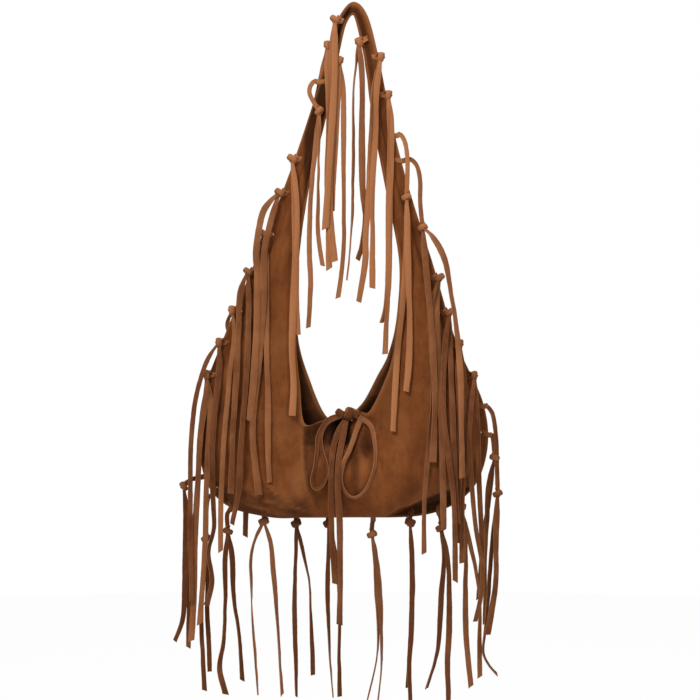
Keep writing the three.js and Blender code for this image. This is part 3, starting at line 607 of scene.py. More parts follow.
def panelMiddle(side):
    # points of the middle of a panel's thickness, rows round the crescent and columns from rim to mouth,
    # with how rubbed and lit by painted highlight, and how deep in painted shade each of them is
    sizes = crescent
    front = side == "front"
    edge = 1 if front else 2
    rim, mouth = (smoothClosed([s[k] for s in stations], sizes["stepsBetween"]) for k in (0, edge))
    swell, stand = smoothClosed([s[3:] for s in stations], sizes["stepsBetween"]).T[..., None]
    swell = swell * (1 if front else sizes["backFullness"])
    stand = np.maximum(stand, 0)
    span = np.linalg.norm(mouth - rim, axis=1)
    flat = np.minimum(sizes["flatRim"] / span, sizes["slimShare"])[:, None]
    way = (np.linspace(0, 1, sizes["columns"]) ** sizes["columnSkew"])[None, :]
    x, z = (rim[:, k:k + 1] + (mouth[:, k:k + 1] - rim[:, k:k + 1]) * way for k in (0, 1))
    share = np.clip((way - flat) / (1 - flat), 0, 1)

    low = smoothStep(-rim[:, 1:], *sizes["sagHeights"])
    leftOfCrease = 1 - smoothStep(rim[:, :1], *sizes["sagEnds"]) if front else 1
    hang = sizes["sag"] * low * leftOfCrease * smoothStep(share, 0, sizes["sagStart"])
    z = z - hang * np.exp(-((share - sizes["sagCentre"]) / sizes["sagSpread"]) ** 2)

    fadeIn, fadeOut = sizes["reliefEnds"]
    inner = smoothStep(share, 0, fadeIn) * (1 - smoothStep(share, fadeOut, 1))
    body = smoothStep(swell, *sizes["bodySwell"])
    relief = sizes["ripple"] * wavesOver(x, z, sizes["seed"] + edge) * (sizes["stiffRipple"] + body)
    folded, shade, rubbedAndLit = foldRelief(x, z, side)
    relief = relief + folded
    depth = swell * fullness(share) + relief * inner
    if front:
        cx, cz = sizes["hollowCentre"]
        away = ((x - cx) ** 2 + (z - cz) ** 2) / sizes["hollowRadius"] ** 2
        depth = depth - sizes["hollowDepth"] * np.exp(-away)
        shade = frontShade(x, z, shade)
    depth = seamHalf + stand * share + np.maximum(depth, 0)

    # rubbed nap and painted highlight on raised folds and along the steps' edges
    wear = np.clip(np.maximum(relief / rubbingAndHighlights["fullHeight"], rubbingAndHighlights["stepGain"] * rubbedAndLit), 0, 2) * inner
    # painted shade on the inner half of the crest and towards both ends of the body
    inwards, halfway, edgeOf = shading["crestAcross"]
    inside = smoothStep(way, inwards, halfway) * smoothStep(z, *shading["crestHeights"])
    shade = np.maximum(shade, shading["crest"] * (inside * (1 - smoothStep(way, edgeOf, 1.0))))
    ends = smoothStep(np.abs(x - shading["endsMiddle"]), *shading["endsAcross"])
    shade = np.clip(shade + shading["ends"] * (ends * smoothStep(-z, *shading["endsBelow"])), 0, 1)
    return np.stack([x, depth, z], axis=-1), wear, shade


def gridNormals(grid):
    # away from the seam, and straight out along the flat rim
    along = np.roll(grid, -1, axis=0) - np.roll(grid, 1, axis=0)
    across = np.gradient(grid, axis=1)
    normal = np.cross(along, across)
    normal /= np.linalg.norm(normal, axis=2)[..., None]
    if normal[..., 1].mean() < 0:
        normal = -normal
    normal[:, :2] = (0, 1, 0)
    return normal


def shellFaces(rows, columns):
    # outer side, inner side and cut edges of two grids of points, and which of the three each face is
    index = np.arange(rows * columns).reshape(rows, columns)
    after = np.roll(index, -1, axis=0)
    far = rows * columns
    quads = np.stack([index[:, :-1], index[:, 1:], after[:, 1:], after[:, :-1]], axis=-1).reshape(-1, 4)
    walls = []
    for column, turn in ((0, 1), (columns - 1, -1)):
        here, ahead = index[:, column], after[:, column]
        walls.append(np.stack([here, ahead, ahead + far, here + far], -1)[:, ::turn])
    kinds = np.repeat([0, 1, 2], [len(quads), len(quads), 2 * rows])
    return np.concatenate([quads, quads[:, ::-1] + far, *walls]), kinds.astype(np.int32)


def paintPanel(mesh, middle, wear, shade):
    fromMouth = np.linalg.norm(middle - middle[:, -1:], axis=2)
    fromRim = np.linalg.norm(middle - middle[:, :1], axis=2)
    # rubbed cut edges with a painted highlight, wider along the crest's lit rim and in a band along the mouth
    atCrest = smoothStep(middle[..., 2], *rubbingAndHighlights["crestHeights"])
    sharp, soft = rubbingAndHighlights["rimWidth"]
    rimWearAndHighlight = rubbingAndHighlights["rim"] + (1 - rubbingAndHighlights["rim"]) * atCrest
    rimWearAndHighlight = rimWearAndHighlight * (1 - smoothStep(fromRim, sharp, soft + rubbingAndHighlights["crestWidth"] * atCrest))
    mouthWidth = rubbingAndHighlights["mouthWidth"]
    edgeWear = np.maximum(1 - smoothStep(fromMouth, mouthWidth * 0.5, mouthWidth), rimWearAndHighlight)
    outerWearAndHighlight = np.clip(rubbingAndHighlights["onFolds"] * wear + rubbingAndHighlights["onEdges"] * edgeWear, 0, 1)
    innerWearAndHighlight = np.clip(edgeWear, 0, 1)
    # painted shade, lifted where edges and folds are rubbed and highlit; on the inner face, painted shade
    # that deepens inward from the mouth
    outerShade = shade * (1 - rubbingAndHighlights["edgeLightens"] * innerWearAndHighlight)
    wornAndLitFold = np.clip(wear - rubbingAndHighlights["foldLightensFrom"], 0, 1)
    outerShade = outerShade * (1 - rubbingAndHighlights["foldLightens"] * wornAndLitFold)
    innerShade = smoothStep(fromMouth, *shading["inside"])
    pointLayer(mesh, "wear", [outerWearAndHighlight, innerWearAndHighlight])
    pointLayer(mesh, "shade", [outerShade, innerShade])
    pointLayer(mesh, "tone", np.zeros((2, *wear.shape)))
    for slot in ("bodySuede", "fleshSidePaintedShade", "cutEdge"):
        mesh.materials.append(materials[slot])


def panelShell(name, side):
    middle, wear, shade = panelMiddle(side)
    normal = gridNormals(middle)
    half = crescent["thickness"] / 2
    facing = -1 if side == "front" else 1
    verts = np.stack([middle + normal * half, middle - normal * half]).reshape(-1, 3) * (1, facing, 1)
    faces, kinds = shellFaces(*wear.shape)
    if facing > 0:
        faces = faces[:, ::-1]
    panel = meshObject(name, verts, faces.tolist())
    panel.data.polygons.foreach_set("material_index", kinds)
    paintPanel(panel.data, middle, wear, shade)
    return panel


panels = {"front": panelShell("frontPanel", "front"), "back": panelShell("backPanel", "back")}
surfaces = {
    side: BVHTree.FromPolygons([v.co for v in panel.data.vertices], [p.vertices for p in panel.data.polygons])
    for side, panel in panels.items()
}
print("panels shaped:", [len(panel.data.polygons) for panel in panels.values()])


def depthAt(side, x, z):
    # how far a panel's outer face stands off the seam at a point of the front view, or 0 beside it
    facing = -1 if side == "front" else 1
    hit = surfaces[side].ray_cast(Vector((x, facing, z)), Vector((0, -facing, 0)))[0]
    return max(hit.y * facing, 0) if hit else 0.0


def depthUnder(side, x, z, width):
    return max(depthAt(side, x + share * width, z) for share in (-0.5, -0.25, 0, 0.25, 0.5))


# Laces: flat strips that run along paths

laceSizes = {
    "width": 0.009,
    "thickness": 0.0014,
    "gatheredWidth": 0.0066,     # pulled narrow through a hole
    "gatheredThickness": 0.0018,
    "knottedWidth": 0.0070,      # bunched up in a knot
    "knottedThickness": 0.0031,
    "stemWidth": 0.0056,
    "gatherLength": 0.028,       # over which a tail opens to its width below its knot
    "step": 0.0030,              # along a strip
    "cup": 0.0011,               # how far its edges curl
    "cupWaves": 28.0,            # how often the curl comes and goes in a metre
    "ripple": 0.0007,
    "rippleWaves": 160.0,
    "profilePoints": 14,
    "profilePowers": (0.42, 0.62),     # under 1 squares the profile, across and through
    "endSlant": 0.97,            # share of a strip from which the slant of its cut end sets in
    "edgeWear": (0.86, 0.6),     # where the rubbing and painted highlight start across a strip, and how far they go
    "curlShade": (0.1, 0.95, 0.22),    # from and to where across it a strip gets painted shade, and how much
    "sharpAngle": 48,
    "holeInset": 0.008,
    "holeRise": 0.0035,          # how much higher a hole is than its lace's knot
    "holeShift": 0.0002,         # from where a loop turns to the middle of its hole
    "holeRadius": 0.0014,
    "holeReach": 0.002,          # how far a punch goes past the lace in the hole
    "holeSides": 18,
    "lift": 0.0005,
    "layerGap": 0.0005,
    "drapeLift": 0.0024,
    "knotRadius": 0.0055,
    "knotDepth": 0.0048,
    "hangingKnot": (0.0067, 0.0020),   # outside the edge and in front of it, below the body
    "rimKnot": (0.0028, 0.0055),       # and everywhere else
    "hangingStretch": 1.2,
    "entryRises": (0.9, 0.3),    # how far from above a lace comes into its knot, at an edge and off a stem
    "knotOffset": 0.002,
    "loopTuck": 0.005,
    "loopEndOffset": 0.0008,
    "stemStart": 0.003,          # outside the edge
    "spacing": {"loop": 0.0015, "knot": 0.0012, "stem": 0.003, "tail": 0.004},   # of a path's points
    "knotTone": 0.1,             # how much paler a lace is in its knot and its loop
    "crestPaleness": 0.32,            # and near the crest, where the tails are also wider
    "crestWidens": 0.13,
    "crestHeights": (-0.42, -0.1),
    "seed": 41,
}
layerStep = laceSizes["thickness"] + laceSizes["layerGap"]
frontmostKnot = laceSizes["knotOffset"] + laceSizes["knotDepth"]
tailPlane = frontmostKnot + laceSizes["thickness"] / 2 + laceSizes["layerGap"]

tailShape = {
    "fall": 0.016,               # over which it comes from its knot to its own depth
    "gathered": 0.55,            # share of its width in the knot, and what it opens by
    "opens": 0.45,
    "opensFrom": 0.004,
    "thickened": 1.5,            # in the knot
    "turnLength": 0.03,
    "swayStart": (0.02, 0.08),
    "wave": 0.05,                # share by which its width comes and goes
    "waveLength": 0.021,
    "smoothing": 3,              # points to each side over which its depth is smoothed
    "smoothingSink": 0.001,      # and how far that may take it in
}

# what differs from lace to lace is drawn from these ranges
laceDraws = {
    "tone": (-0.24, 0.02),
    "knotBulk": (0.95, 1.15),
    "hangingBulk": (1.2, 1.35),
    "slimness": (0.62, 0.86),    # a tail's share of the full width
    "sway": (10, 42),            # degrees by which a tail turns to and fro
    "swayLength": (0.035, 0.06),
    "slant": (-0.0025, 0.0025),  # of a tail's cut end
    "tailTone": (-0.05, 0.05),
    "curlSeed": (0, 50),
}
draws = random.Random(laceSizes["seed"])


def laceStripTree():
    # turns chains of points into flat strips. Each point gives the way of the strip's width, its width
    # and thickness there, and the slant of the strip's cut end.
    tree = bpy.data.node_groups.new("laceStrip", "GeometryNodeTree")
    addSockets(tree, "INPUT", "Geometry", {"Geometry": None})
    addSockets(tree, "INPUT", "Float", {"Step": 0.003, "Cup": 0.0006, "Ripple": 0.0005, "Seed": 0.0})
    addSockets(tree, "INPUT", "Material", {"Material": None})
    addSockets(tree, "OUTPUT", "Geometry", {"Geometry": None})
    chains, step, cup, ripple, seed, material = addNode(tree, "NodeGroupInput").outputs[:6]

    def node(kind, inputs=None, **settings):
        return addNode(tree, "GeometryNode" + kind, inputs, **settings).outputs[0]

    def stored(name, kind="FLOAT"):
        return node("InputNamedAttribute", {"Name": name}, data_type=kind)

    def store(geometry, name, value, kind="FLOAT"):
        inputs = {"Geometry": geometry, "Name": name, "Value": value}
        return node("StoreNamedAttribute", inputs, data_type=kind, domain="POINT")

    def product(*factors):
        total = factors[0]
        for factor in factors[1:]:
            total = mathNode(tree, "MULTIPLY", total, factor)
        return total

    def plus(first, second):
        return mathNode(tree, "ADD", first, second)

    def squared(value, power):
        size = mathNode(tree, "POWER", mathNode(tree, "ABSOLUTE", value), power)
        return product(size, mathNode(tree, "SIGN", value))

    # the rails, with what the faces round them need later
    rail = node("MeshToCurve", {0: chains})
    rail = node("ResampleCurve", {"Curve": rail, "Length": step}, mode="LENGTH")
    along = addNode(tree, "GeometryNodeSplineParameter").outputs
    rail = store(rail, "centre", node("InputPosition"), "FLOAT_VECTOR")
    rail = store(rail, "tangent", node("InputTangent"), "FLOAT_VECTOR")
    rail = store(rail, "along", along["Factor"])
    rail = store(rail, "reach", along["Length"])
    normal = stored("widthWay", "FLOAT_VECTOR")
    rail = node("SetCurveNormal", {"Curve": rail, "Normal": normal}, mode="FREE")

    # a flat profile with rounded corners
    ring = node("CurvePrimitiveCircle", {"Resolution": laceSizes["profilePoints"], "Radius": 1.0})
    parts = addNode(tree, "ShaderNodeSeparateXYZ", {0: node("InputPosition")}).outputs
    acrossPower, upPower = laceSizes["profilePowers"]
    ring = store(ring, "across", squared(parts["X"], acrossPower))
    ring = store(ring, "up", squared(parts["Y"], upPower))
    strip = node("CurveToMesh", {"Curve": rail, "Profile Curve": ring, "Scale": 0.001, "Fill Caps": True})

    # each point of the faces goes to its place across the rail, with curled and uneven edges
    centre, tangent = stored("centre", "FLOAT_VECTOR"), stored("tangent", "FLOAT_VECTOR")
    across = stored("across")
    widthWay = vectorNode(tree, "NORMALIZE", stored("widthWay", "FLOAT_VECTOR"))
    liftWay = vectorNode(tree, "CROSS_PRODUCT", tangent, widthWay)
    wavePlace = plus(product(stored("reach"), laceSizes["cupWaves"]), seed)
    wave = noiseNode(tree, {"W": wavePlace, "Scale": 1.0, "Detail": 2.0}, noise_dimensions="1D")
    curl = product(product(across, across, cup), product(wave, 2.0))
    rise = plus(product(stored("up"), stored("thickness"), 0.5), curl)
    atEnd = rangeNode(tree, stored("along"), laceSizes["endSlant"], 1.0)
    edgeWave = noiseNode(tree, {"Vector": centre, "Scale": laceSizes["rippleWaves"], "Detail": 2.0})
    ragged = product(mathNode(tree, "SUBTRACT", edgeWave, 0.5), ripple, across)
    place = centre
    for way, size in ((widthWay, product(across, stored("width"), 0.5)), (liftWay, rise),
                      (tangent, product(across, stored("slant"), atEnd)), (widthWay, ragged)):
        place = vectorNode(tree, "ADD", place, vectorNode(tree, "SCALE", way, size))
    strip = node("SetPosition", {"Geometry": strip, "Position": place})

    # edges are rubbed and lightened by painted highlight, and the side away from the light, where a strip
    # curls, is darkened by painted shade
    fromMiddle = mathNode(tree, "ABSOLUTE", across)
    wearAndHighlightFrom, wear = laceSizes["edgeWear"]
    strip = store(strip, "wear", rangeNode(tree, fromMiddle, wearAndHighlightFrom, 1.0, 0.0, wear))
    shadeFrom, shadeTo, shade = laceSizes["curlShade"]
    strip = store(strip, "shade", rangeNode(tree, across, shadeFrom, shadeTo, 0.0, shade))
    strip = node("RealizeInstances", {0: strip})
    strip = node("SetMaterial", {"Geometry": strip, "Material": material})
    addNode(tree, "NodeGroupOutput", {"Geometry": strip})
    return tree


stripTree = laceStripTree()
stripInputs = {s.name: s.identifier for s in stripTree.interface.items_tree if s.in_out == "INPUT"}


def strip(points, widthWay, width, thickness, slant=0.0, tone=0.0):
    # one chain for the strip tree
    points = np.asarray(points, float)
    along = unit(np.gradient(points, axis=0))
    widthWay = np.broadcast_to(np.asarray(widthWay, float), points.shape)
    widthWay = unit(widthWay - along * np.sum(widthWay * along, axis=1)[:, None])
    spread = [np.broadcast_to(np.asarray(v, float), len(points)) for v in (width, thickness, slant, tone)]
    return points, widthWay, *spread


def stripPiece(name, chains):
    # runs the strip tree on the chains and keeps the result as a plain mesh
    edges = []
    start = 0
    for chain in chains:
        end = start + len(chain[0])
        edges += [(i, i + 1) for i in range(start, end - 1)]
        start = end
    source = meshObject(name + "Path", np.vstack([c[0] for c in chains]), [], edges)
    widthWay = source.data.attributes.new("widthWay", "FLOAT_VECTOR", "POINT")
    widthWay.data.foreach_set("vector", np.vstack([c[1] for c in chains]).astype(np.float32).ravel())
    for k, title in enumerate(("width", "thickness", "slant", "tone")):
        pointLayer(source.data, title, np.concatenate([c[k + 2] for c in chains]))
    modifier = source.modifiers.new("strip", "NODES")
    modifier.node_group = stripTree
    given = {"Step": laceSizes["step"], "Cup": laceSizes["cup"], "Ripple": laceSizes["ripple"],
             "Seed": draws.uniform(*laceDraws["curlSeed"]), "Material": materials["laceSuede"]}
    for title, value in given.items():
        modifier[stripInputs[title]] = value
    made = finishedMesh(source, laceSizes["sharpAngle"])
    bpy.data.objects.remove(source)
    return addObject(name, made)


edgeLines = {
    "rim": smoothClosed([s[0] for s in stations], crescent["stepsBetween"]),
    "mouth": smoothClosed([s[1] for s in stations], crescent["stepsBetween"]),
}


def edgeNear(edge, x, z):
    # the nearest place on the rim or on the mouth, with the ways along it and into the suede
    line, other = edgeLines[edge], edgeLines["rim" if edge == "mouth" else "mouth"]
    i = int(np.argmin(np.hypot(line[:, 0] - x, line[:, 1] - z)))
    along = line[(i + 1) % len(line)] - line[i - 1]
    along /= np.linalg.norm(along)
    inward = np.array([-along[1], along[0]])
    if np.dot(inward, other[i] - line[i]) < 0:
        inward = -inward
    return {"point": line[i], "along": along, "inward": inward, "edge": edge}


def inset(place, distance, y):
    # a lace slants upwards from its knot to its hole
    upward = place["along"] * math.copysign(1, place["along"][1])
    slant = laceSizes["holeRise"] * max(distance, 0) / laceSizes["holeInset"]
    x, z = place["point"] + place["inward"] * distance + upward * slant
    return np.array([x, y, z])


def stackAt(side, place):
    # how far the suede reaches from the seam round a hole. Along the rim it lies flat.
    depths = [seamHalf + crescent["thickness"] / 2]
    if place["edge"] == "mouth":
        for share in (0.5, 1, 1.2):
            x, _, z = inset(place, share * laceSizes["holeInset"], 0)
            depths.append(depthAt(side, x, z))
    return max(depths)


holes = []


def punchAt(place, distance, lift):
    # notes a hole for later, and says how far the lace in it stands off the seam, front and back
    lift = lift + laceSizes["gatheredThickness"] / 2
    front = stackAt("front", place) + lift
    back = stackAt("back", place) + lift
    holes.append((inset(place, distance, 0), max(front, back)))
    return front, back


def gatheredStrip(place, route, tone):
    # a lace pulled narrow along a route of distances in from the edge and depths behind the seam
    line = smoothOpen([inset(place, distance, y) for distance, y in route], laceSizes["spacing"]["loop"])
    widthWay = (place["along"][0], 0, place["along"][1])
    return strip(line, widthWay, laceSizes["gatheredWidth"], laceSizes["gatheredThickness"], tone=tone)


def loopStrip(place, tone):
    # in at the front, through the hole and back round the edge
    deep = laceSizes["holeInset"]
    front, back = punchAt(place, deep - laceSizes["holeShift"], laceSizes["lift"])
    turn = laceSizes["thickness"]
    out, ends = laceSizes["loopTuck"], laceSizes["loopEndOffset"]
    return gatheredStrip(place, [(-out, -ends), (0, -front), (deep - turn, -front), (deep, turn - front),
                                 (deep, back - turn), (deep - turn, back), (0, back), (-out, ends)], tone)


# an overhand knot, in knot radii: across, along its axis and towards the viewer
knotTurns = [
    (0.0, 1.35, 0.0), (-0.15, 0.95, -0.15), (-0.55, 0.50, -0.45), (-0.15, 0.05, -0.85), (0.65, -0.35, -0.50),
    (0.90, -0.35, 0.30), (0.30, 0.00, 0.85), (-0.55, 0.38, 0.70), (-0.92, 0.30, 0.0), (-0.62, -0.10, -0.45),
    (0.0, -0.35, -0.15), (0.10, -0.70, 0.0),
]


def knotStrip(centre, axis, size, tone, flip, bulk):
    # axis is a way in the front view, from the knot's exit to its entry
    axis = np.array([axis[0], 0, axis[1]]) / math.hypot(*axis)
    across = np.array([axis[2], 0, -axis[0]]) * flip
    viewer = np.array([0.0, -1.0, 0.0])
    points = [centre + a * size[0] * across + v * size[2] * axis + w * size[1] * viewer
              for a, v, w in knotTurns]
    line = smoothOpen(points, laceSizes["spacing"]["knot"])
    widthWay = np.cross(unit(np.gradient(line, axis=0)), unit(line - centre))
    return strip(line, unit(widthWay + 1e-6), bulk * laceSizes["knottedWidth"],
                 bulk * laceSizes["knottedThickness"], tone=tone)


def atCrest(height):
    return float(smoothStep(height, *laceSizes["crestHeights"]))


def drapedDepths(side, layer, flat, width):
    # over what lies under a tail, never back in again further down, and smoothed
    under = np.array([depthUnder(side, x, z, width) for x, z in flat])
    depths = np.maximum(under + laceSizes["drapeLift"] + laceSizes["thickness"] / 2 + layer * layerStep,
                        tailPlane + layer * layerStep)
    depths = np.maximum.accumulate(depths)
    reach = tailShape["smoothing"]
    window = np.ones(2 * reach + 1) / (2 * reach + 1)
    smoothed = np.convolve(np.pad(depths, reach, mode="edge"), window, mode="valid")
    return np.maximum(smoothed, depths - tailShape["smoothingSink"])


def tailStrip(knot, tail, tone):
    # a tail falls from its knot over what lies under it and then hangs straight
    side, layer, turn, route = tail
    shape = tailShape
    facing = 1 if side == "back" else -1
    flat = smoothOpen([(knot[0], knot[2])] + route, laceSizes["spacing"]["tail"])
    reach = lengthsAlong(flat)
    knotHeight = knot[1] * facing
    if side == "free":
        depths = np.full(len(flat), knotHeight + layer * layerStep)
    else:
        depths = drapedDepths(side, layer, flat, laceSizes["width"])
    start = smoothStep(reach, 0, shape["fall"])
    depths = knotHeight * (1 - start) + depths * start
    points = np.column_stack([flat[:, 0], depths * facing, flat[:, 1]])
    slimness = draws.uniform(*laceDraws["slimness"]) + laceSizes["crestWidens"] * atCrest(knot[2])
    sway = math.radians(draws.uniform(*laceDraws["sway"]))
    phase = draws.uniform(0, 2 * math.pi)
    waves = np.sin(reach / draws.uniform(*laceDraws["swayLength"]) + phase)
    angle = math.radians(turn) * smoothStep(reach, 0, shape["turnLength"])
    angle = angle + sway * waves * smoothStep(reach, *shape["swayStart"])
    widthWay = np.column_stack([np.cos(angle), np.sin(angle), np.zeros(len(angle))])
    opened = smoothStep(reach, shape["opensFrom"], laceSizes["gatherLength"])
    breadth = laceSizes["width"] * slimness * (shape["gathered"] + shape["opens"] * opened)
    breadth = breadth * (1 + shape["wave"] * np.sin(reach / shape["waveLength"] + phase))
    thick = laceSizes["thickness"] * (shape["thickened"] - (shape["thickened"] - 1) * opened)
    slant = draws.uniform(*laceDraws["slant"])
    return strip(points, widthWay, breadth, thick, slant, tone + draws.uniform(*laceDraws["tailTone"]))


def stemStrip(place, way, knot, tone):
    # the doubled lace between the edge and a knot that is tied further out
    path = [(x, 0, z) for x, z in way] + [(knot[0], 0, knot[2])]
    line = smoothOpen([inset(place, -laceSizes["stemStart"], 0)] + path, laceSizes["spacing"]["stem"])
    share = lengthsAlong(line)
    line[:, 1] = knot[1] * np.minimum(2 * share / share[-1], 1)
    along = np.gradient(line, axis=0)
    widthWay = np.column_stack([-along[:, 2], np.zeros(len(line)), along[:, 0]])
    return strip(line, widthWay, laceSizes["stemWidth"], laceSizes["gatheredThickness"], tone=tone)


def dress(piece, node):
    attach(piece, bodyName)
    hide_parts(node)
    return piece


def hangLace(name, edge, knotAt, way, tails):
    # a lace with a way has its knot further out, and one on the front has it lying on the panel
    sizes = laceSizes
    place = edgeNear("mouth" if edge == "mouth" else "rim", *(way[0] if way else knotAt))
    hanging = name.startswith("bottom") and not way
    tone = draws.uniform(*laceDraws["tone"]) + sizes["crestPaleness"] * atCrest(knotAt[1])
    knot = np.array([knotAt[0], -sizes["knotOffset"], knotAt[1]])
    atEdge, offStem = sizes["entryRises"]
    entry = place["inward"] + np.array([0, atEdge])
    if way:
        last = np.array(way[-1]) - np.array(knotAt)
        entry = last / np.linalg.norm(last) + np.array([0, offStem])
    else:
        outside, forward = sizes["hangingKnot"] if hanging else sizes["rimKnot"]
        knot = inset(place, -outside, -forward)
    if edge == "front":
        under = depthUnder("front", *knotAt, 2 * sizes["knotRadius"])
        knot[1] = -(under + sizes["knotDepth"] + sizes["lift"])
    stretch = sizes["hangingStretch"] if hanging else 1
    size = (sizes["knotRadius"], sizes["knotDepth"], sizes["knotRadius"] * stretch)
    bulk = draws.uniform(*laceDraws["hangingBulk" if hanging else "knotBulk"])
    knotTone = tone + sizes["knotTone"]
    flip = draws.choice((-1, 1))
    chains = [loopStrip(place, knotTone), knotStrip(knot, entry, size, knotTone, flip, bulk)]
    if way:
        chains.append(stemStrip(place, way, knot, tone))
    chains += [tailStrip(knot, tail, tone) for tail in tails]
    title = "lace" + "".join(word.capitalize() for word in name.split("_"))
    dress(stripPiece(title, chains), f"lace_{name}")


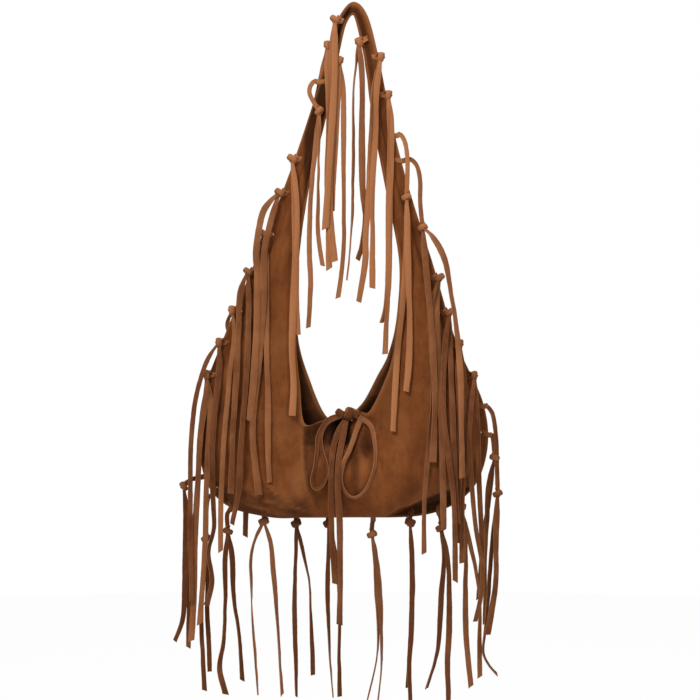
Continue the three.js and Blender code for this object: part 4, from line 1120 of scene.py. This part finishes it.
# Each lace's name, edge, knot, the way from its hole to a knot that is tied further out, and its tails. A
# tail has what it hangs over, its layer there, its turn in degrees and its route. Places are x and z.
laceRows = [
    ("left_1", "rim", (-0.024, -0.006), [], [
        ("front", 2, 0, [(-0.024, -0.056), (-0.024, -0.131), (-0.028, -0.206), (-0.026, -0.262),
            (-0.022, -0.309)]),
        ("front", 3, 0, [(-0.022, -0.081), (-0.026, -0.156), (-0.030, -0.219), (-0.033, -0.268)]),
    ]),
    ("left_2", "rim", (-0.032, -0.039), [], [
        ("front", 1, 0, [(-0.030, -0.081), (-0.029, -0.144), (-0.030, -0.206), (-0.029, -0.269),
            (-0.028, -0.318)]),
        ("back", 0, 0, [(-0.042, -0.100), (-0.058, -0.169), (-0.070, -0.231), (-0.078, -0.294)]),
    ]),
    ("left_3", "mouth", (-0.014, -0.059), [], [
        ("free", 0, 30, [(-0.011, -0.100), (-0.011, -0.169), (-0.011, -0.238), (-0.011, -0.288),
            (-0.014, -0.325), (-0.018, -0.354)]),
        ("front", 0, 0, [(-0.018, -0.100), (-0.021, -0.156), (-0.024, -0.206), (-0.025, -0.246)]),
    ]),
    ("left_4", "front", (-0.041, -0.121),
     [(-0.047, -0.083), (-0.052, -0.090), (-0.053, -0.099), (-0.049, -0.108)], [
        ("front", 0, 0, [(-0.045, -0.162), (-0.050, -0.219), (-0.052, -0.256), (-0.053, -0.300),
            (-0.052, -0.338), (-0.055, -0.391)]),
        ("front", 1, 60, [(-0.042, -0.169), (-0.043, -0.231), (-0.043, -0.275), (-0.037, -0.314)]),
    ]),
    ("left_5", "rim", (-0.075, -0.179), [], [
        ("front", 1, 0, [(-0.071, -0.225), (-0.071, -0.294), (-0.073, -0.356), (-0.074, -0.419),
            (-0.072, -0.462), (-0.074, -0.500)]),
        ("front", 2, 0, [(-0.069, -0.231), (-0.068, -0.294), (-0.068, -0.356), (-0.067, -0.400)]),
    ]),
    ("left_6", "rim", (-0.095, -0.220), [], [
        ("front", 3, 0, [(-0.109, -0.244), (-0.116, -0.271), (-0.119, -0.300), (-0.117, -0.331),
            (-0.118, -0.394), (-0.121, -0.450), (-0.126, -0.506)]),
        ("front", 2, 0, [(-0.102, -0.262), (-0.109, -0.300), (-0.110, -0.356), (-0.114, -0.419),
            (-0.120, -0.481), (-0.121, -0.531), (-0.114, -0.596)]),
    ]),
    ("left_7", "rim", (-0.106, -0.276), [], [
        ("front", 0, 0, [(-0.106, -0.319), (-0.106, -0.369), (-0.106, -0.419), (-0.104, -0.481),
            (-0.103, -0.531), (-0.101, -0.581)]),
        ("back", 1, 0, [(-0.114, -0.294), (-0.106, -0.331), (-0.100, -0.406), (-0.098, -0.481),
            (-0.100, -0.569)]),
    ]),
    ("left_8", "rim", (-0.129, -0.321), [], [
        ("front", 4, 0, [(-0.128, -0.356), (-0.128, -0.412), (-0.132, -0.475), (-0.136, -0.531),
            (-0.139, -0.594), (-0.146, -0.632)]),
        ("front", 5, 0, [(-0.139, -0.350), (-0.141, -0.394), (-0.142, -0.450), (-0.145, -0.519),
            (-0.148, -0.594)]),
    ]),
    ("left_9", "rim", (-0.146, -0.371), [], [
        ("front", 2, 0, [(-0.146, -0.400), (-0.150, -0.444), (-0.154, -0.494), (-0.158, -0.544),
            (-0.161, -0.606), (-0.161, -0.666)]),
        ("back", 0, 0, [(-0.156, -0.388), (-0.143, -0.419), (-0.135, -0.481), (-0.134, -0.556),
            (-0.136, -0.656)]),
    ]),
    ("left_10", "rim", (-0.166, -0.409), [], [
        ("front", 4, 0, [(-0.180, -0.432), (-0.190, -0.462), (-0.196, -0.494), (-0.200, -0.538),
            (-0.201, -0.594), (-0.201, -0.656), (-0.199, -0.731)]),
        ("front", 3, 20, [(-0.165, -0.450), (-0.170, -0.500), (-0.173, -0.550), (-0.172, -0.606),
            (-0.171, -0.638), (-0.178, -0.669), (-0.173, -0.704), (-0.180, -0.734)]),
    ]),
    ("left_11", "rim", (-0.180, -0.451), [], [
        ("front", 1, 0, [(-0.182, -0.481), (-0.189, -0.525), (-0.192, -0.581), (-0.195, -0.644),
            (-0.196, -0.719), (-0.200, -0.781)]),
        ("front", 0, 0, [(-0.176, -0.488), (-0.179, -0.544), (-0.181, -0.594), (-0.182, -0.656),
            (-0.186, -0.719), (-0.189, -0.759)]),
    ]),
    ("left_12", "rim", (-0.210, -0.589), [(-0.195, -0.579), (-0.202, -0.581)], [
        ("free", 0, 20, [(-0.208, -0.625), (-0.208, -0.669), (-0.209, -0.719), (-0.212, -0.756),
            (-0.222, -0.782)]),
        ("free", -2, 0, [(-0.205, -0.631), (-0.204, -0.694), (-0.205, -0.791)]),
    ]),
    ("left_13", "rim", (-0.182, -0.654), [(-0.180, -0.604), (-0.182, -0.625)], [
        ("free", 0, 0, [(-0.185, -0.694), (-0.188, -0.744), (-0.186, -0.794), (-0.184, -0.844)]),
        ("free", -2, 0, [(-0.180, -0.694), (-0.181, -0.744), (-0.179, -0.781), (-0.178, -0.821)]),
    ]),
    ("bottom_1", "rim", (-0.155, -0.645), [(-0.156, -0.625)], [
        ("free", 0, 40, [(-0.159, -0.681), (-0.159, -0.731), (-0.161, -0.781), (-0.166, -0.816),
            (-0.158, -0.849)]),
        ("free", -2, 30, [(-0.150, -0.681), (-0.149, -0.725), (-0.142, -0.775), (-0.138, -0.832)]),
    ]),
    ("bottom_2", "rim", (-0.109, -0.634), [], [
        ("free", 1, 75, [(-0.122, -0.656), (-0.127, -0.681), (-0.126, -0.725), (-0.124, -0.769),
            (-0.121, -0.806), (-0.118, -0.849)]),
        ("free", -1, 45, [(-0.102, -0.662), (-0.098, -0.706), (-0.094, -0.756), (-0.091, -0.806),
            (-0.088, -0.850)]),
    ]),
    ("bottom_3", "rim", (-0.070, -0.638), [], [
        ("free", 1, 45, [(-0.071, -0.675), (-0.072, -0.731), (-0.071, -0.794), (-0.070, -0.851)]),
        ("free", -1, 45, [(-0.062, -0.672), (-0.054, -0.709), (-0.052, -0.756), (-0.050, -0.794),
            (-0.049, -0.825)]),
    ]),
    ("bottom_4", "rim", (-0.031, -0.634), [], [
        ("free", 1, 55, [(-0.030, -0.669), (-0.031, -0.712), (-0.030, -0.762), (-0.028, -0.806),
            (-0.024, -0.852)]),
        ("free", -1, 50, [(-0.021, -0.675), (-0.016, -0.731), (-0.017, -0.794), (-0.016, -0.852)]),
    ]),
    ("bottom_5", "rim", (0.025, -0.649), [(0.025, -0.638)], [
        ("free", 1, 60, [(0.028, -0.684), (0.031, -0.731), (0.032, -0.775), (0.029, -0.812),
            (0.019, -0.854)]),
        ("free", -1, 50, [(0.031, -0.688), (0.035, -0.738), (0.036, -0.788), (0.036, -0.821),
            (0.032, -0.856)]),
    ]),
    ("bottom_6", "rim", (0.072, -0.636), [], [
        ("free", 1, 15, [(0.074, -0.669), (0.075, -0.719), (0.074, -0.769), (0.071, -0.812),
            (0.072, -0.856)]),
        ("free", -1, 20, [(0.075, -0.681), (0.076, -0.731), (0.072, -0.781), (0.069, -0.841)]),
    ]),
    ("bottom_7", "rim", (0.111, -0.641), [(0.111, -0.630)], [
        ("free", 1, 50, [(0.114, -0.679), (0.111, -0.725), (0.109, -0.762), (0.105, -0.800),
            (0.092, -0.841)]),
        ("free", -1, 35, [(0.119, -0.681), (0.121, -0.725), (0.121, -0.769), (0.119, -0.812),
            (0.120, -0.858)]),
    ]),
    ("bottom_8", "rim", (0.142, -0.622), [], [
        ("free", 1, 40, [(0.141, -0.662), (0.141, -0.719), (0.142, -0.775), (0.148, -0.839)]),
        ("free", -2, 25, [(0.146, -0.656), (0.154, -0.694), (0.159, -0.731), (0.159, -0.781),
            (0.160, -0.828)]),
    ]),
    ("right_11", "rim", (0.182, -0.598),
     [(0.168, -0.488), (0.176, -0.500), (0.180, -0.530), (0.181, -0.566)], [
        ("free", 2, 10, [(0.180, -0.631), (0.179, -0.669), (0.179, -0.706), (0.174, -0.744),
            (0.169, -0.774)]),
        ("free", 0, 60, [(0.176, -0.638), (0.172, -0.688), (0.169, -0.731), (0.165, -0.774), (0.163, -0.796),
            (0.170, -0.812), (0.181, -0.825)]),
    ]),
    ("right_10", "rim", (0.178, -0.553), [(0.175, -0.524), (0.177, -0.538)], [
        ("free", -5, 20, [(0.171, -0.588), (0.169, -0.625), (0.167, -0.669), (0.166, -0.719),
            (0.166, -0.762)]),
        ("back", 0, 0, [(0.172, -0.606), (0.165, -0.656), (0.158, -0.731)]),
    ]),
    ("right_9", "rim", (0.152, -0.452), [], [
        ("front", 6, 0, [(0.147, -0.488), (0.144, -0.531), (0.147, -0.581), (0.152, -0.638), (0.159, -0.681),
            (0.158, -0.719), (0.151, -0.752)]),
        ("front", 7, 0, [(0.154, -0.488), (0.156, -0.531), (0.157, -0.581), (0.159, -0.644),
            (0.160, -0.706)]),
    ]),
    ("right_8", "rim", (0.135, -0.412), [], [
        ("front", 1, 0, [(0.131, -0.450), (0.132, -0.500), (0.133, -0.544), (0.131, -0.594),
            (0.131, -0.656)]),
        ("front", 0, 0, [(0.138, -0.450), (0.140, -0.494), (0.139, -0.544), (0.136, -0.606),
            (0.136, -0.681)]),
    ]),
    ("right_7", "rim", (0.120, -0.371), [], [
        ("front", 4, 0, [(0.115, -0.412), (0.112, -0.456), (0.112, -0.500), (0.118, -0.550), (0.124, -0.594),
            (0.126, -0.644), (0.126, -0.702)]),
        ("front", 3, 0, [(0.121, -0.412), (0.122, -0.462), (0.124, -0.512), (0.126, -0.569),
            (0.129, -0.631)]),
    ]),
    ("right_6", "rim", (0.109, -0.328), [], [
        ("front", 1, 0, [(0.105, -0.362), (0.106, -0.412), (0.108, -0.462), (0.110, -0.512), (0.111, -0.562),
            (0.112, -0.638)]),
        ("front", 2, 0, [(0.099, -0.362), (0.098, -0.412), (0.099, -0.462), (0.096, -0.512), (0.092, -0.562),
            (0.089, -0.606), (0.088, -0.668)]),
    ]),
    ("right_5", "front", (0.088, -0.266),
     [(0.072, -0.180), (0.081, -0.189), (0.085, -0.208), (0.085, -0.235)], [
        ("front", 10, 0, [(0.104, -0.285), (0.115, -0.309), (0.121, -0.344), (0.129, -0.394),
            (0.133, -0.444), (0.134, -0.506), (0.135, -0.575)]),
        ("front", 3, 0, [(0.092, -0.319), (0.099, -0.394), (0.101, -0.469), (0.099, -0.556)]),
    ]),
    ("right_4", "front", (0.068, -0.228),
     [(0.060, -0.149), (0.066, -0.159), (0.069, -0.179), (0.069, -0.204)], [
        ("front", 1, 0, [(0.068, -0.275), (0.066, -0.325), (0.061, -0.375), (0.056, -0.425), (0.053, -0.475),
            (0.051, -0.519)]),
        ("front", 2, 0, [(0.069, -0.275), (0.070, -0.338), (0.071, -0.394), (0.070, -0.438),
            (0.067, -0.470)]),
    ]),
    ("right_3", "rim", (0.049, -0.101), [], [
        ("front", 0, 0, [(0.049, -0.144), (0.048, -0.219), (0.046, -0.306), (0.043, -0.369),
            (0.041, -0.424)]),
        ("front", 1, 45, [(0.046, -0.169), (0.046, -0.256), (0.045, -0.331), (0.041, -0.366),
            (0.036, -0.385)]),
    ]),
    ("right_2", "rim", (0.038, -0.054), [], [
        ("front", 3, 0, [(0.030, -0.100), (0.029, -0.150), (0.026, -0.212), (0.026, -0.275),
            (0.025, -0.342)]),
        ("front", 2, 30, [(0.026, -0.100), (0.023, -0.162), (0.021, -0.219), (0.017, -0.275),
            (0.016, -0.309), (0.008, -0.359)]),
    ]),
    ("right_1", "mouth", (0.015, -0.034), [], [
        ("free", 1, 80, [(0.005, -0.059), (0.001, -0.100), (0.001, -0.162), (0.000, -0.231),
            (-0.002, -0.281), (-0.007, -0.331)]),
        ("front", 0, 30, [(0.012, -0.081), (0.012, -0.156), (0.013, -0.219), (0.016, -0.256),
            (0.012, -0.288), (0.006, -0.306)]),
    ]),
]
for row in laceRows:
    hangLace(*row)


# The bow that ties the lips of the mouth

bow = {
    "knotAt": (-0.004, -0.498),
    "knotDepth": 0.006,
    "knotSink": 0.001,           # how far the knot and the lace behind it sit in one another
    # beside the middle, axis, radius, share of the depth, height, change of tone, flip and bulk
    "knots": [
        (0.0, (1, 0.15), 0.0066, 1, 0.0090, -0.1, 1, 1.45),
        (-0.010, (0.9, 0.25), 0.0050, 0.8, 0.0085, -0.15, -1, 1.2),
        (0.009, (-0.9, 0.3), 0.0046, 0.8, 0.0075, -0.05, 1, 1.1),
    ],
    "lift": 0.0009,
    "lipClearance": 0.003,       # between the seam and the lace over the lips
    "tone": -0.12,
    "loopWidth": 0.0070,
    "loopThickening": 1.2,
    "loopSpacing": 0.003,        # of the points of a loop's path
    "loopTurn": 66,              # degrees by which a loop turns its edge to the viewer at its far end
    "loopTurnPower": 0.7,        # under 1 holds that turn for longer
    "loops": [                   # tone, set paler for the first loop as painted light on its lit flat side, how long it shows its flat side before it turns, and route
        (0.03, 1.35, [
            (0.010, -0.502), (0.005, -0.521), (-0.002, -0.541), (-0.010, -0.559), (-0.013, -0.578),
            (-0.008, -0.592), (0.001, -0.599), (0.012, -0.594), (0.021, -0.579), (0.027, -0.559),
            (0.028, -0.539), (0.023, -0.514), (0.008, -0.502),
        ]),
        (-0.12, 1, [
            (-0.018, -0.502), (-0.032, -0.511), (-0.038, -0.526), (-0.036, -0.541), (-0.031, -0.556),
            (-0.030, -0.571), (-0.036, -0.586), (-0.046, -0.590), (-0.050, -0.578), (-0.046, -0.560),
            (-0.044, -0.540), (-0.042, -0.524), (-0.030, -0.506), (-0.014, -0.500),
        ]),
    ],
    "tails": [
        [(-0.015, -0.516), (-0.024, -0.544), (-0.026, -0.581), (-0.025, -0.631), (-0.021, -0.705)],
        [(-0.010, -0.521), (-0.018, -0.569), (-0.015, -0.631), (-0.014, -0.694), (-0.015, -0.755)],
    ],
}


def bowLoop(knot, tone, skew, route):
    width, lift = bow["loopWidth"], laceSizes["drapeLift"]
    flat = smoothOpen([(knot[0], knot[2])] + route, bow["loopSpacing"])
    depths = []
    for x, z in flat:
        under = max(depthUnder("front", x, z + share * width, width) for share in (-0.5, 0, 0.5))
        depths.append(max(under, -knot[1] - lift) + lift)
    line = np.column_stack([flat[:, 0], -np.array(depths), flat[:, 1]])
    along = unit(np.gradient(line, axis=0))
    share = np.linspace(0, 1, len(line))
    angle = math.radians(bow["loopTurn"]) * np.sin(np.pi * share**skew) ** bow["loopTurnPower"]
    widthWay = np.column_stack([-along[:, 2] * np.cos(angle), -np.sin(angle), along[:, 0] * np.cos(angle)])
    return strip(line, widthWay, width, laceSizes["thickness"] * bow["loopThickening"], tone=tone)


def makeBow():
    tone, clear = bow["tone"], seamHalf + bow["lipClearance"]
    place = edgeNear("mouth", *bow["knotAt"])
    deep, turn = laceSizes["holeInset"], laceSizes["thickness"]
    front, back = punchAt(place, deep, bow["lift"])
    sink = bow["knotSink"]
    middle = np.array([bow["knotAt"][0], -(front + bow["knotDepth"] - sink), bow["knotAt"][1]])
    over = -(laceSizes["lift"] + turn)
    route = [(0, middle[1]), (over, -clear), (over, clear), (turn, back), (deep - turn, back),
             (deep, back - turn), (deep, turn - front), (deep - turn, -front), (turn, -front - sink),
             (0, middle[1])]
    chains = [gatheredStrip(place, route, tone)]
    for beside, axis, radius, depth, height, toneChange, flip, bulk in bow["knots"]:
        size = (radius, bow["knotDepth"] * depth, height)
        centre = middle + np.array([beside, 0, 0])
        chains.append(knotStrip(centre, axis, size, tone + toneChange, flip, bulk))
    chains += [bowLoop(middle, *loop) for loop in bow["loops"]]
    chains += [tailStrip(middle, ("front", 1, 0, route), tone) for route in bow["tails"]]
    dress(stripPiece("tieBow", chains), "tie_bow")


makeBow()
print("bow tied")


# The holes go through both panels

def makePunches():
    punches = bmesh.new()
    radius = laceSizes["holeRadius"]
    for centre, reach in holes:
        made = bmesh.ops.create_cone(punches, cap_ends=True, segments=laceSizes["holeSides"], radius1=radius,
                                     radius2=radius, depth=2 * (reach + laceSizes["holeReach"]))
        for vert in made["verts"]:
            x, y, z = vert.co
            vert.co = (x + centre[0], z, y + centre[2])
    bmesh.ops.recalc_face_normals(punches, faces=punches.faces)
    mesh = bpy.data.meshes.new("punches")
    punches.to_mesh(mesh)
    punches.free()
    return addObject("punches", mesh)


def punchHoles(panel):
    punches = makePunches()
    cut = panel.modifiers.new("holes", "BOOLEAN")
    cut.operation = "DIFFERENCE"
    cut.solver = "FAST"
    cut.object = punches
    made = finishedMesh(panel, crescent["sharpAngle"])
    panel.modifiers.remove(cut)
    bpy.data.objects.remove(punches)
    panel.data = made


frontPanel, backPanel = panels["front"], panels["back"]
for panel, node in ((frontPanel, "front_panel"), (backPanel, "back_panel")):
    punchHoles(panel)
    dress(panel, node)
